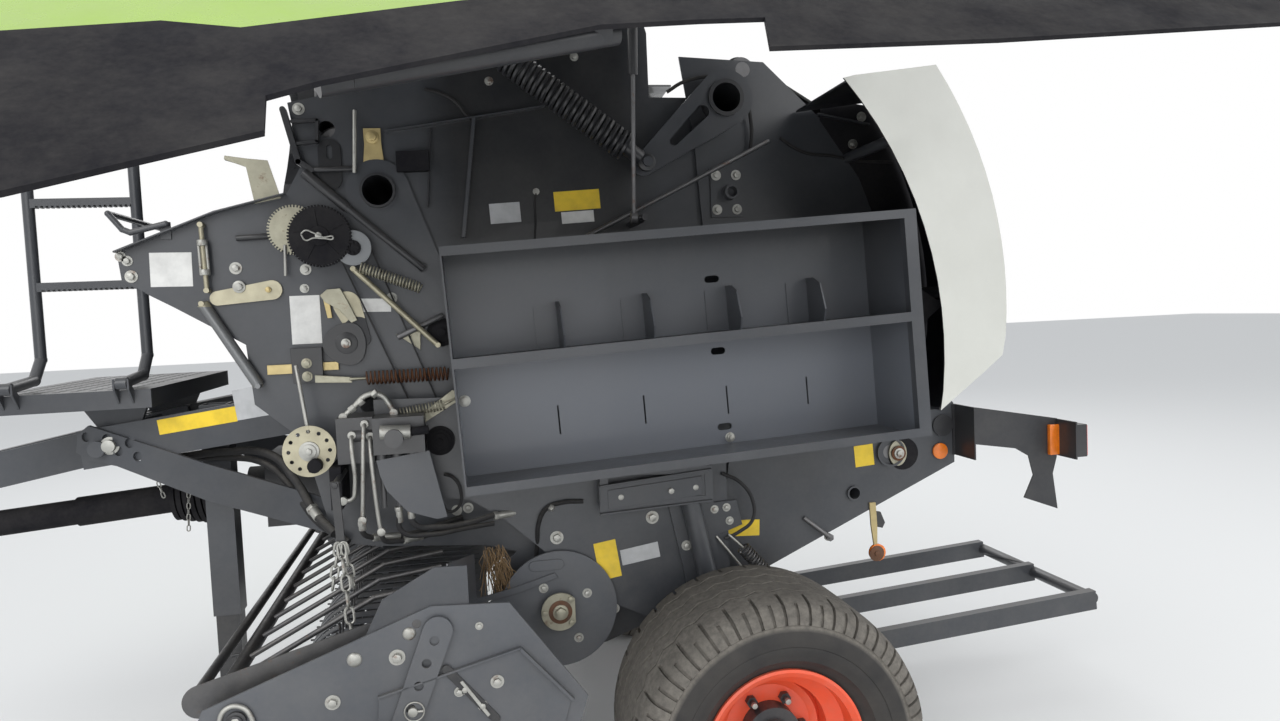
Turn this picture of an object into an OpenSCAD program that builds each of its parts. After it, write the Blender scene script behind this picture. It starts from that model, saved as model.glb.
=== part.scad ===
/* [Wheels] */
// Outer diameter of the main tyre
tyre_d = 866; // [840:1:900]
// Width of the main tyre
tyre_w = 480; // [440:1:490]
// Diameter over the rim flange
rim_d = 470; // [450:1:500]
// Distance from the middle plane to the middle of a main tyre
track_half = 1055; // [1040:1:1100]
// Bolt circle of the wheel studs
wheel_pcd = 205; // [195:1:225]

/* [Bale chamber] */
// Inside width between the chamber walls
chamber_w = 1200; // [1150:1:1210]
// Thickness of the chamber and tailgate plates
wall_t = 8; // [5:1:10]
// Height of the tailgate pivot tube above the ground
pivot_z = 2365; // [2350:1:2380]
// Outer diameter of the tailgate pivot tube
pivot_d = 120; // [100:1:130]
// Number of baling belts
belt_n = 4; // [3:1:6]
// Thickness of a baling belt
belt_t = 8; // [5:1:12]

/* [Storage box] */
// Length of the twine and net storage box
box_l = 1362; // [1250:1:1375]
// Height of the storage box
box_h = 685; // [600:1:700]
// Depth of the storage box
box_depth = 290; // [240:1:300]
// Thickness of the box sheet
box_t = 5; // [3:1:8]
// Height of the shelf above the box floor
shelf_h = 365; // [330:1:400]
// Number of dividers on the shelf
divider_n = 4; // [2:1:6]
// Angle by which the box rises to the rear
box_tilt = 3; // [1:0.5:4]

/* [Drawbar and stand] */
// Distance from the axle forward to the towing eye
eye_reach = 3120; // [3050:1:3250]
// Height of the towing eye above the ground
eye_z = 1090; // [1050:1:1120]
// Bore of the towing eye
eye_bore = 40; // [35:1:50]
// Outer side of the square jack tube
jack_side = 90; // [80:1:100]
// Wall of the jack tubes
jack_wall = 6; // [4:1:8]

/* [Pickup] */
// Half of the pickup width over its side plates
pickup_half = 1118; // [1100:1:1125]
// Radius at the tine tips
tine_r = 245; // [225:1:250]
// Number of tine bars on the reel
tine_bars = 4; // [3:1:6]
// Spacing of the tines across the width
tine_pitch = 70; // [60:1:100]
// Outer diameter of a gauge wheel
gauge_d = 360; // [320:1:362]

/* [Hoods] */
// Angle by which the left hood stands open
hood_open = 50; // [40:1:50]
// Thickness of the hood shell
hood_t = 8; // [5:1:10]

/* [Hidden] */
$fn = 48;

// Machine axes: x runs to the rear from the axle, y to the right side, z up from the ground.
// The part frame has its origin at the towing eye, so every node is shifted by this vector.
to_eye = [eye_reach, 0, -eye_z];

// Lateral planes, as distances from the middle plane
wall_y = chamber_w / 2;          // inner face of a chamber wall
plate_y = wall_y + wall_t;       // outer face of a chamber wall
gate_y = plate_y + 8;            // inner face of a tailgate plate
gate_out = gate_y + wall_t;      // outer face of a tailgate plate
frame_t = 8;
frame_y = gate_out + 68;         // outer face of a lower chassis plate
arm_y = frame_y + 8;             // inner face of the arms outside the chassis plates
cyl_y = frame_y + 43;            // middle of a tailgate cylinder
fit = 0.3;                       // radial play of a pin in its bore
axle_z = tyre_d / 2;
pivot = [60, pivot_z];

// Colours
dark = "#3c3e42";
coal = "#232427";
green = "#a9cf2b";
pale = "#e4e5da";
red = "#e2421d";
zinc = "#c9c79a";
steel = "#9aa0a6";
rubber = "#2a2a2a";

// Puts an outline drawn in the x-z plane on the left side, from y to y + t away from the middle
module left_plate(y, t) translate([0, -y, 0]) rotate([90, 0, 0]) linear_extrude(t) children();

// Puts an outline drawn in the y-z plane at x, t thick
module across(x, t) translate([x, 0, 0]) rotate([90, 0, 90]) linear_extrude(t) children();

// Puts an outline in the upright plane through two points of the ground plan
module slanted(a, b, t) translate([a[0], a[1], 0]) rotate([0, 0, atan2(b[1] - a[1], b[0] - a[0])])
    rotate([90, 0, 0]) translate([0, 0, -t / 2]) linear_extrude(t) children();

module both_sides() {
    children();
    mirror([0, 1, 0]) children();
}

// Round bar between two points, or a tube where a bore is given
module rod(a, b, d, bore = 0) {
    v = b - a;
    len = norm(v);
    translate(a) rotate([0, acos(v[2] / len), atan2(v[1], v[0])]) difference() {
        cylinder(h = len, d = d);
        if (bore > 0) translate([0, 0, -1]) cylinder(h = len + 2, d = bore);
    }
}

// Round bar along y at an x-z place, between two distances to the left of the middle
module pin(p, y0, y1, d, bore = 0) rod([p[0], -y0, p[1]], [p[0], -y1, p[1]], d, bore);

// Rectangular beam between two points, w wide and h high, hollow where a wall is given
module beam(a, b, w, h, wall = 0) {
    v = b - a;
    len = norm(v);
    translate(a) rotate([0, -asin(v[2] / len), atan2(v[1], v[0])]) difference() {
        translate([0, -w / 2, -h / 2]) cube([len, w, h]);
        if (wall > 0) translate([-1, -w / 2 + wall, -h / 2 + wall])
            cube([len + 2, w - 2 * wall, h - 2 * wall]);
    }
}

// Outline of a link with round ends
module link(p, q, rp, rq) {
    v = q - p;
    len = norm(v);
    n = [-v[1], v[0]] / len;
    s = (rp - rq) / len;
    c = sqrt(1 - s * s);
    d1 = v / len * s + n * c;
    d2 = v / len * s - n * c;
    translate(p) circle(r = rp);
    translate(q) circle(r = rq);
    polygon([p + d1 * rp, q + d1 * rq, q + d2 * rq, p + d2 * rp]);
}

// Points of an arc about c
function arc(c, r, a0, a1, n) =
    [for (i = [0:n]) c + r * [cos(a0 + (a1 - a0) * i / n), sin(a0 + (a1 - a0) * i / n)]];

// Arc through three points, from the first to the last
function bow(a, b, c, n) =
    let (d = 2 * (a[0] * (b[1] - c[1]) + b[0] * (c[1] - a[1]) + c[0] * (a[1] - b[1])),
        m = [(a * a * (b[1] - c[1]) + b * b * (c[1] - a[1]) + c * c * (a[1] - b[1])) / d,
            (a * a * (c[0] - b[0]) + b * b * (a[0] - c[0]) + c * c * (b[0] - a[0])) / d],
        left = cross(b - a, c - b) > 0,
        t0 = atan2(a[1] - m[1], a[0] - m[0]),
        t1 = atan2(c[1] - m[1], c[0] - m[0]))
    arc(m, norm(a - m), t0, left && t1 < t0 ? t1 + 360 : !left && t1 > t0 ? t1 - 360 : t1, n);

// Tube of k sides along a list of points
function ring(p, t, r, k) =
    let (u = norm(cross(t, [0, 0, 1])) > 0.01 ? cross(t, [0, 0, 1]) : [1, 0, 0], a = u / norm(u), b = cross(t, a))
    [for (j = [0:k - 1]) p + r * (a * cos(360 * j / k) + b * sin(360 * j / k))];
module sweep(pts, r, k) {
    n = len(pts);
    tang = [for (i = [0:n - 1]) let (v = pts[min(i + 1, n - 1)] - pts[max(i - 1, 0)]) v / norm(v)];
    rings = [for (i = [0:n - 1]) each ring(pts[i], tang[i], r, k)];
    polyhedron(rings, concat(
        [[for (j = [0:k - 1]) j]],
        [for (i = [0:n - 2], j = [0:k - 1]) [i * k + j, (i + 1) * k + j, (i + 1) * k + (j + 1) % k]],
        [for (i = [0:n - 2], j = [0:k - 1]) [i * k + j, (i + 1) * k + (j + 1) % k, i * k + (j + 1) % k]],
        [[for (j = [k - 1:-1:0]) (n - 1) * k + j]]));
}

// Chassis plates outside the chamber, with the pins of the tailgate cylinders
rotor = [-565, 724];
chassis_top = 1410;
cyl_low = [-300, 1262];
module chassis_frame() color(dark) {
    both_sides() {
        left_plate(frame_y - frame_t, frame_t) polygon([[-1110, 1270], [-1010, 1130], [-832, 1103], [-725, 1029],
            [-413, 734], [-231, 640], [-60, 600], [20, 720], [20, chassis_top], [-1110, chassis_top + 30]]);
        // rails that hold the plate off the chamber wall
        translate([-1090, -frame_y + frame_t, 1340]) cube([340, frame_y - frame_t - plate_y, 60]);
        pin(cyl_low, frame_y, cyl_y + 24, 30);
    }
    // tube between the lower corners of the two plates
    rod([-110, -frame_y + frame_t, 621], [-110, frame_y - frame_t, 621], 60);
}

// Axle, its legs, the bolted boxes above them and the ears of the bale ramp
stub_r = 40;
leg_x = [-420, -47];
leg_z = [1040, 1185];
ramp_y = [-403, 0, 403];
ramp_w = 40;
ramp_pin = [150, 330];
module leg_box(in) polygon([[leg_x[0] + in, leg_z[0] + 20 + in], [leg_x[1] - in, leg_z[0] + in],
    [leg_x[1] - in, leg_z[1] - 20 - in], [leg_x[0] + in, leg_z[1] - in]]);
module axle_beam() color(dark) {
    translate([-50, -frame_y - 60, axle_z - 50]) cube([100, 2 * frame_y + 120, 100]);
    both_sides() {
        pin([0, axle_z], frame_y + 50, track_half - 60, 2 * stub_r);
        pin([0, axle_z], frame_y + 60, frame_y + 76, 190);
        left_plate(frame_y, 12) polygon([[-190, leg_z[0] + 12], [-60, leg_z[0] + 12], [70, axle_z], [-70, axle_z]]);
        rod([-120, -frame_y - 36, leg_z[0] + 20], [-6, -frame_y - 36, axle_z + 30], 64);
        difference() {
            left_plate(frame_y, 68) leg_box(0);
            left_plate(frame_y + 38, 68) leg_box(26);
            for (x = [-330, -240, -130]) left_plate(frame_y + 30, 9) link([x, 1118], [x + 24, 1117], 8, 8);
        }
    }
    for (y = ramp_y) for (s = [-1, 1]) translate([0, y + s * (ramp_w / 2 + 11) - 5, 0]) rotate([90, 0, 0])
        translate([0, 0, -10]) linear_extrude(10) difference() {
            link([30, axle_z - 30], ramp_pin, 30, 24);
            translate(ramp_pin) circle(r = 10 + fit);
            translate([-50, axle_z - 50]) square(100);
        }
}

// Main wheels, drawn about their own axis with z pointing outboard
hub_r = 82;
disc_z = 46;
module on_left_wheel() translate([0, -track_half, axle_z]) rotate([90, 0, 0]) children();
rim_half = tyre_w / 2 - 34;
function seat(z) = rim_d / 2 - 16 - 6 * (rim_half - 20 - z) / 46;
module wheel_rim() color(red) on_left_wheel() {
    r = rim_d / 2;
    w = rim_half;
    rotate_extrude($fn = 96) polygon([[r, w - 12], [r, w - 2], [r - 8, w], [r - 24, w - 12], [r - 30, w - 70],
        [r - 72, w - 104], [r - 72, 104 - w], [r - 30, 70 - w], [r - 24, 12 - w], [r - 8, -w], [r, 2 - w], [r, 12 - w],
        [r - 16, 20 - w], [r - 22, 66 - w], [r - 64, 98 - w], [r - 64, w - 98], [r - 22, w - 66], [r - 16, w - 20]]);
    difference() {
        rotate_extrude($fn = 96) polygon([[hub_r + fit, disc_z], [130, disc_z], [r - 84, disc_z + 12],
            [r - 70, disc_z - 6], [r - 70, disc_z - 24], [r - 86, disc_z], [128, disc_z - 12], [hub_r + fit, disc_z - 12]]);
        for (i = [0:5]) rotate([0, 0, 60 * i]) translate([wheel_pcd / 2, 0, disc_z - 40]) cylinder(h = 80, d = 20);
    }
}
module wheel_hub() color(coal) on_left_wheel() difference() {
    union() {
        translate([0, 0, -90]) cylinder(h = 190, r = hub_r);
        translate([0, 0, disc_z - 30]) cylinder(h = 18, r = 125);
        translate([0, 0, 100]) cylinder(h = 14, r = 50);
        for (i = [0:5]) rotate([0, 0, 60 * i]) translate([wheel_pcd / 2, 0, 0]) {
            translate([0, 0, disc_z - 14]) cylinder(h = 48, d = 19);
            translate([0, 0, disc_z]) cylinder(h = 20, d = 34, $fn = 6);
        }
    }
    translate([0, 0, -91]) cylinder(h = 161, r = stub_r + fit);
}
module tyre() color(rubber) on_left_wheel() {
    r = tyre_d / 2;
    b = rim_d / 2 + fit;
    w = tyre_w / 2;
    heel = rim_half - 21;
    toe = rim_half - 50;
    rotate_extrude($fn = 96) polygon([[seat(heel) + fit, -heel], [b + 1, -heel - 8], [b + 20, 30 - w], [b + 50, 8 - w],
        [b + 90, -w], [r - 60, 6 - w], [r - 28, 20 - w], [r - 10, 46 - w], [r, 110 - w], [r, w - 110], [r - 10, w - 46],
        [r - 28, w - 20], [r - 60, w - 6], [b + 90, w], [b + 50, w - 8], [b + 20, w - 30], [b + 1, heel + 8],
        [seat(heel) + fit, heel], [seat(toe) + fit, toe], [b + 50, w - 34], [r - 60, w - 38], [r - 40, w - 72],
        [r - 40, 72 - w], [r - 60, 38 - w], [b + 50, 34 - w], [seat(toe) + fit, -toe]]);
}

// Drawbar: two hollow beams that spread to the rear, two flat struts and a cross box
head = [-2032, 1301];
beam_a = [-2090, -252, 1293];
beam_b = [-1340, -470, 1400];
beam_w = 90;
strut_side = beam_w / 2 + 7;
spread = (beam_b - beam_a) / (beam_b[0] - beam_a[0]);
strut_tail = [-1105, 1003];
module drawbar() color(dark) {
    both_sides() {
        difference() {
            union() {
                beam(beam_a, beam_b, beam_w, 130, 8);
                slanted([beam_a[0], beam_a[1] - strut_side], [beam_b[0], beam_b[1] - strut_side], 12) difference() {
                    polygon([[-10, 1350], [30, 1378], [430, 1240], [strut_tail[0] - beam_a[0] + 30, strut_tail[1] + 55],
                        [strut_tail[0] - beam_a[0] + 30, strut_tail[1] - 55], [430, 1115], [120, 1240], [20, 1262], [-20, 1290]]);
                    for (p = [[20, 1340], [92, 1332], [130, 1290], [170, 1316], [196, 1270]]) translate(p) circle(d = 32);
                }
            }
            pin(head, 150, 400, 30);
        }
        // plate under the platform
        slanted([beam_a[0], beam_a[1]], [beam_b[0], beam_b[1]], 12)
            polygon([[-60, deck_z - deck_t], [250, deck_z - deck_t], [190, 1360], [60, 1340]]);
    }
    difference() {
        translate([beam_b[0], -wall_y, beam_b[2] - 70]) cube([80, chamber_w, 140]);
        translate([beam_b[0] + 8, -wall_y - 1, beam_b[2] - 62]) cube([64, chamber_w + 2, 124]);
    }
    rod([strut_tail[0], -wall_y, strut_tail[1]], [strut_tail[0], wall_y, strut_tail[1]], 60);
    translate([-1830, -325, 1318]) cube([70, 650, 12]);
    // plate that holds the jack tube
    translate([jack_x - 60, jack_y - jack_side / 2 - 8, 1290]) cube([120, 8, 110]);
    translate([jack_x - 60, -350, 1290]) cube([120, 350 + jack_y - jack_side / 2, 10]);
}
module hitch_head() color(dark) {
    difference() {
        union() {
            both_sides() beam([-eye_reach + 110, -54, eye_z + 21], [-1880, -185, 1330], 70, 120, 8);
            translate([-eye_reach, 0, eye_z - 22]) cylinder(h = 44, r = 52);
            translate([-eye_reach + 20, -45, eye_z - 22]) cube([170, 90, 44]);
            translate([-eye_reach + 110, -60, eye_z - 40]) cube([12, 120, 122]);
        }
        translate([-eye_reach, 0, eye_z - 30]) cylinder(h = 60, d = eye_bore);
    }
    translate([-2350, -115, 1195]) cube([60, 230, 80]);
    // bolts that hold the head at its height
    both_sides() {
        pin(head, 196, 340, 29);
        pin(head, 337, 355, 54);
    }
}

// Parking jack
jack_x = -1685;
jack_y = -230;
jack_low = 680;
leg_side = jack_side - 2 * jack_wall - 2 * fit;
module jack_tube() color(dark) translate([jack_x, jack_y, jack_low]) difference() {
    translate([-jack_side / 2, -jack_side / 2, 0]) cube([jack_side, jack_side, 740]);
    translate([-jack_side / 2 + jack_wall, -jack_side / 2 + jack_wall, -1])
        cube([jack_side - 2 * jack_wall, jack_side - 2 * jack_wall, 742]);
}
module jack_leg() color(dark) translate([jack_x, jack_y, 0]) {
    translate([-leg_side / 2, -leg_side / 2, 8]) difference() {
        cube([leg_side, leg_side, 800]);
        translate([jack_wall, jack_wall, 20]) cube([leg_side - 2 * jack_wall, leg_side - 2 * jack_wall, 800]);
    }
    translate([-110, -75, 0]) cube([220, 150, 8]);
}

// Platform over the drawbar and the ladder that folds up on its left edge
deck_z = 1500;
deck_h = 60;
deck_t = 5;
deck_x = [-2320, -1812];
deck_y = 480;
ladder_x = [-2215, -1886];
ladder_foot = [deck_y + 22, deck_z + 22];
module platform() color(dark) {
    difference() {
        translate([deck_x[0], -deck_y, deck_z - deck_h]) cube([deck_x[1] - deck_x[0], 2 * deck_y, deck_h]);
        translate([deck_x[0] + deck_t, -deck_y + deck_t, deck_z - deck_h - 1])
            cube([deck_x[1] - deck_x[0] - 2 * deck_t, 2 * (deck_y - deck_t), deck_h - deck_t + 1]);
        for (i = [0:7], j = [0:17]) translate([deck_x[0] + 50 + 54 * i, -deck_y + 55 + 52 * j, deck_z - 10])
            cylinder(h = 20, d = 26, $fn = 16);
    }
    // ears of the ladder
    for (x = ladder_x) {
        for (s = [-24, 18]) across(x + s, 6) polygon([[-ladder_foot[0] - 16, ladder_foot[1] - 18],
            [-ladder_foot[0] - 16, ladder_foot[1] + 16], [-deck_y + 4, deck_z], [-deck_y, deck_z - 44]]);
        rod([x - 24, -ladder_foot[0], ladder_foot[1]], [x + 24, -ladder_foot[0], ladder_foot[1]], 14);
    }
}
ladder_in = 250;
ladder_top = 2610;
ladder_d = 36;
module ladder() color(steel) {
    y0 = -ladder_foot[0];
    for (x = ladder_x) {
        difference() {
            union() {
                rod([x, y0, ladder_foot[1]], [x, y0 + ladder_in - 60, ladder_foot[1] + 14], ladder_d);
                rod([x - 16, y0, ladder_foot[1]], [x + 16, y0, ladder_foot[1]], 38);
            }
            rod([x - 20, y0, ladder_foot[1]], [x + 20, y0, ladder_foot[1]], 14 + 2 * fit);
        }
        rod([x, y0 + ladder_in - 60, ladder_foot[1] + 14], [x, y0 + ladder_in, ladder_foot[1] + 80], ladder_d);
        rod([x, y0 + ladder_in, ladder_foot[1] + 80], [x, y0 + ladder_in, ladder_top], ladder_d);
        translate([x, y0 + ladder_in, ladder_top]) sphere(d = ladder_d + 2);
        for (p = [[-60, 14], [0, 80]]) translate([x, y0 + ladder_in + p[0], ladder_foot[1] + p[1]]) sphere(d = ladder_d + 2);
    }
    for (z = [1843, 2120, 2397]) translate([ladder_x[0] + 10, y0 + ladder_in - 15, z - 15]) difference() {
        cube([ladder_x[1] - ladder_x[0] - 20, 30, 30]);
        for (i = [0:18]) translate([16 + 16 * i, -1, -1]) cube([8, 32, 7]);
    }
    rod([ladder_x[0], y0 + ladder_in, ladder_top], [ladder_x[1], y0 + ladder_in, ladder_top], ladder_d);
}

// Gearbox, its cross tube and the shaft guard
pto = [-1640, 1080];
stub_d = 45;
cross_drive = [-1225, 1142];
module gearbox() color(coal) {
    difference() {
        translate([-1560, -140, 950]) cube([400, 280, 260]);
        for (s = [-1, 1]) translate([-1460, s * 190, 1250]) rotate([45, 0, 0]) cube([700, 120, 120], center = true);
    }
    rod([pto[0], 0, pto[1]], [-1560, 0, pto[1]], 150);
    rod([pto[0] - 60, 0, pto[1]], [pto[0], 0, pto[1]], stub_d);
    both_sides() pin(cross_drive, 140, wall_y, 90);
    both_sides() translate([-1330, -120, 1210]) cube([60, 30, beam_b[2] - 70 - 1210]);
}
shaft_front = [-2960, 980];
function along(t) = [shaft_front[0] + (pto[0] - shaft_front[0]) * t, 0, shaft_front[1] + (pto[1] - shaft_front[1]) * t];
module drive_shaft() color(coal) {
    difference() {
        union() {
            rod(along(0), along(0.12), 125);
            rod(along(0.12), along(0.6), 92);
            rod(along(0.55), along(0.8), 106);
            for (i = [0:5]) rod(along(0.8 + 0.018 * i), along(0.812 + 0.018 * i), 170 + 12 * i);
            rod(along(0.8), along(0.91), 150);
            rod(along(0.9), along(0.94), 250);
        }
        rod(along(-0.01), along(0.07), 90);
    }
    // yoke on the gearbox
    rod([pto[0] - 100, 0, pto[1]], [pto[0] - 12, 0, pto[1]], stub_d + 40, stub_d + 2 * fit);
    // yoke of the tractor end
    rod(along(-0.03), along(0.08), 56, 35);
}

// Chamber side walls, with the tongues of the wrapping unit
module wall_outline() polygon(concat([[-1837, 1922], [-1829, 1841], [-1489, 1628], [-1475, 1440], [-1340, 1320],
    [-1262, 985], [-1140, 960], [-790, 930]], arc(rotor, 215, 125, 250, 10), [[-400, 560], [-30, 690], [60, 900], [110, 1400],
    [150, 2200]], arc(pivot, 92, -30, 165, 10), [[-175, 2390], [-175, 2600], [-195, hinge_z - 24], [-300, hinge_z - 24], [-330, 2588],
    [-468, 2564], [-1321, 2371], [-1293, 2177], [-1343, 2086], [-1549, 2035]]));
module chamber_wall() color(coal) left_plate(wall_y, wall_t) difference() {
    wall_outline();
    translate(pivot) circle(d = pivot_d + 2 * fit);
    translate(front_arm) circle(r = 55);
    translate(rotor) circle(r = 30 + fit);
    translate([-1210, 2290]) circle(r = 26);
    translate([-1130, 1420]) circle(r = 30);
}
front_arm = [-1065, 2095];
module chamber_crossmembers() color(coal) {
    rod([pivot[0], -arm_y - 22, pivot[1]], [pivot[0], arm_y + 22, pivot[1]], pivot_d, pivot_d - 26);
    rod([front_arm[0], -plate_y - 26, front_arm[1]], [front_arm[0], plate_y + 26, front_arm[1]], 110 - 2 * fit, 94);
    translate([-1300, -wall_y, 2300]) cube([60, chamber_w, 60]);
    translate([-560, -wall_y, 2470]) cube([60, chamber_w, 60]);
    // roof sheet between the two
    translate([0, wall_y, 0]) left_plate(0, chamber_w) polygon([[-1300, 2360], [-560, 2528], [-560, 2532], [-1300, 2364]]);
    // posts, hinge bars and the feet of the gas struts
    both_sides() {
        translate([-1290, -wall_y, 2364]) cube([50, 50, hinge_z - 24 - 2364]);
        for (x = hinge_lug_x) across(x, 20) {
            translate([-hinge_y, hinge_z]) circle(r = 16);
            translate([-hinge_y - 12, hinge_z - 24]) square([24, 24]);
        }
        rod([hinge_x[0], -hinge_y, hinge_z], [hinge_x[1], -hinge_y, hinge_z], 24);
        rod([strut_x + 34, -plate_y, strut_foot[1]], [strut_x + 34, -strut_foot[0] - 14, strut_foot[1]], 22);
        rod([strut_x + 34, -strut_foot[0], strut_foot[1]], [strut_x + 15, -strut_foot[0], strut_foot[1]], 16);
        pin(spring_post, plate_y, spring_y + 28, 30);
    }
}

// Wrapping unit between the tongues, and the drive on the left wall
nose_bar = [[-1690, 2006], [-1790, 1982], [-1812, 1992], [-1848, 2040]];
module wrap_frame() color(dark) {
    rod([-1800, -wall_y, 1882], [-1800, wall_y, 1882], 50);
    translate([0, wall_y, 0]) left_plate(0, chamber_w) polygon([[-1770, 1800], [-1500, 1640], [-1340, 1640], [-1340, 1648],
        [-1497, 1648], [-1764, 1806]]);
    translate([-1400, -wall_y, 1960]) cube([50, chamber_w, 50]);
    // handle bar over the nose
    both_sides() {
        for (i = [0:len(nose_bar) - 2]) rod([nose_bar[i][0], -plate_y - 14, nose_bar[i][1]],
            [nose_bar[i + 1][0], -plate_y - 14, nose_bar[i + 1][1]], 18);
        for (p = nose_bar) translate([p[0], -plate_y - 14, p[1]]) sphere(d = 19);
        left_plate(plate_y, 6) polygon([[-1710, 1960], [-1680, 1960], [-1680, 2012], [-1710, 2012]]);
    }
    rod([nose_bar[3][0], -plate_y - 14, nose_bar[3][1]], [nose_bar[3][0], plate_y + 14, nose_bar[3][1]], 18);
    // hook plate on the upper edge
    left_plate(plate_y, 6) polygon([[-1430, 2060], [-1360, 2075], [-1392, 2190], [-1450, 2196], [-1510, 2206], [-1512, 2196],
        [-1450, 2176], [-1428, 2160]]);
}

// Outline of a toothed wheel
module cog(r, n, depth) polygon([for (i = [0:n - 1]) each
    [for (k = [[-0.32, 0], [-0.16, 1], [0.16, 1], [0.32, 0]])
        (r - depth + k[1] * depth) * [cos(360 * (i + k[0]) / n), sin(360 * (i + k[0]) / n)]]]);
gear_big = [-1245, 1955];
gear_sector = [-1325, 1978];
pulley = [-1148, 1916];
module wrap_drive() {
    color(coal) left_plate(plate_y + 26, 18) translate(gear_big) difference() {
        cog(92, 56, 6);
        for (i = [0:5]) rotate(60 * i) translate([50, 0]) circle(r = 12);
    }
    color(zinc) left_plate(plate_y + 12, 6) translate(gear_sector) difference() {
        cog(66, 44, 6);
        translate([30, 8]) circle(r = 10);
    }
    color(steel) pin(pulley, plate_y + 26, plate_y + 34, 110);
    color(zinc) {
        pin(gear_big, plate_y, plate_y + 58, 16);
        pin(gear_sector, plate_y, plate_y + 12, 20);
        pin(pulley, plate_y, plate_y + 40, 24);
        // plates, lever arms and the adjusting disc
        left_plate(plate_y, 8) difference() {
            link([-1205, 2225], [-1205, 2135], 34, 34);
            link([-1205, 2230], [-1205, 2205], 9, 9);
        }
        left_plate(plate_y, 10) link([-1560, 1775], [-1400, 1795], 22, 30);
        left_plate(plate_y, 8) link([-1180, 1740], [-1140, 1630], 42, 26);
        pin(disc_at, plate_y, plate_y + 130, 40);
    }
    color(zinc) left_plate(plate_y + 130, 5) translate(disc_at) difference() {
        circle(r = 78);
        for (i = [0:11]) rotate(30 * i) translate([60, 0]) circle(r = 6);
    }
    // lever rod from the pulley to the cam below
    rod([-1150, -plate_y - 50, 1850], [-905, -plate_y - 50, 1600], 18);
    pin([-1150, 1850], plate_y, plate_y + 59, 16);
    pin([-905, 1600], plate_y, plate_y + 59, 16);
    // diagonal tube and turnbuckle at the nose
    rod([-1600, -plate_y - 20, 1760], [-1455, -plate_y - 20, 1500], 34);
    pin([-1600, 1760], plate_y, plate_y + 40, 16);
    pin([-1455, 1500], plate_y, plate_y + 40, 16);
    rod([-1585, -plate_y - 22, 1800], [-1590, -plate_y - 22, 2000], 14);
    pin([-1590, 2000], plate_y, plate_y + 32, 16);
    pin([-1585, 1800], plate_y, plate_y + 32, 16);
}
disc_at = [-1300, 1300];

// Belt tension arms and the big spring
arm_tip = [-225, 2150];
spring_y = arm_y + 60;
spring_post = [-690, 2500];
module tension_arms() color(dark) both_sides() {
    left_plate(arm_y, 12) difference() {
        link(pivot, arm_tip, 92, 34);
        translate(pivot) circle(r = pivot_d / 2 + fit);
        link([-20, 2320], [-120, 2225], 22, 14);
    }
    pin(arm_tip, arm_y + 12, spring_y + 30, 30);
    left_plate(plate_y, 12) difference() {
        link(front_arm, [-885, 1740], 98, 46);
        translate(front_arm) circle(r = 55);
        translate([-940, 1850]) circle(r = 16);
    }
}
module tension_spring() color(coal) both_sides() {
    a = [spring_post[0], -spring_y, spring_post[1]];
    b = [arm_tip[0], -spring_y, arm_tip[1]];
    len = norm(b - a);
    e = (b - a) / len;
    u = [0, 1, 0];
    w = cross(e, u);
    coil = [44, len - 100];
    turns = 13;
    r = 44;
    wire = 6.5;
    sweep([for (i = [0:turns * 8]) a + e * (coil[0] + (coil[1] - coil[0]) * i / (turns * 8))
        + r * (u * cos(45 * i) + w * sin(45 * i))], wire, 6);
    // plugs screwed into the ends of the coil, with their eyes
    for (t = [36, len - 154]) rod(a + e * t, a + e * (t + 60), 2 * (r - wire - fit));
    rod(a + e * 20, a + e * 40, 24);
    rod(b - e * 90, b - e * 20, 24);
    for (p = [spring_post, arm_tip]) pin(p, spring_y - 14, spring_y + 14, 56, 31);
}

// Storage box on the left side, drawn with its own corner as origin, y running inwards
box_at = [-841, 1194];
box_back = 810;
module storage_box() color(dark) translate([box_at[0], -box_back - box_depth, box_at[1]]) rotate([0, -box_tilt, 0]) {
    difference() {
        cube([box_l, box_depth, box_h]);
        translate([box_t, -1, box_t]) cube([box_l - 2 * box_t, box_depth - box_t + 1, shelf_h - box_t]);
        translate([box_t, -1, shelf_h + box_t])
            cube([box_l - 2 * box_t, box_depth - box_t + 1, box_h - shelf_h - 2 * box_t]);
        // slots in the lower back wall and the long holes
        for (i = [0:3]) translate([box_l * (0.22 + 0.2 * i), box_depth - box_t - 1, 100]) cube([5, box_t + 2, 90]);
        for (z = [60, shelf_h - 60, box_h - 150]) translate([box_l * 0.6, box_depth - box_t - 1, z])
            rotate([-90, 0, 0]) linear_extrude(box_t + 2) link([0, 0], [26, 0], 11, 11);
    }
    // lips of the floor, the shelf and the roof
    cube([box_l, 4, 26]);
    translate([0, 0, shelf_h - 14]) cube([box_l, 4, 28]);
    translate([0, 0, box_h - 26]) cube([box_l, 4, 26]);
    // dividers that stand on the shelf
    for (i = [0:divider_n - 1]) translate([box_l * (0.24 + 0.6 * i / (divider_n - 1)), 0, shelf_h + box_t]) {
        rotate([90, 0, 90]) linear_extrude(5) polygon([[box_depth - box_t, 0], [box_depth - 130, 0], [box_depth - 150, 40],
            [box_depth - 120, 120], [box_depth - 60, 140], [box_depth - box_t, 140]]);
        translate([-70, box_depth - box_t - 4, 0]) cube([75, 4, 130]);
    }
    // outer flange of the rear end wall
    translate([box_l, 0, 0]) cube([34, 4, box_h]);
    // spacers to the wall and the chassis plate
    for (x = [180, 900]) translate([x, box_depth, 40]) cube([60, box_back - frame_y, 50]);
    for (x = [180, 840]) translate([x, box_depth, box_h - 90]) cube([60, box_back - plate_y, 50]);
}

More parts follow.
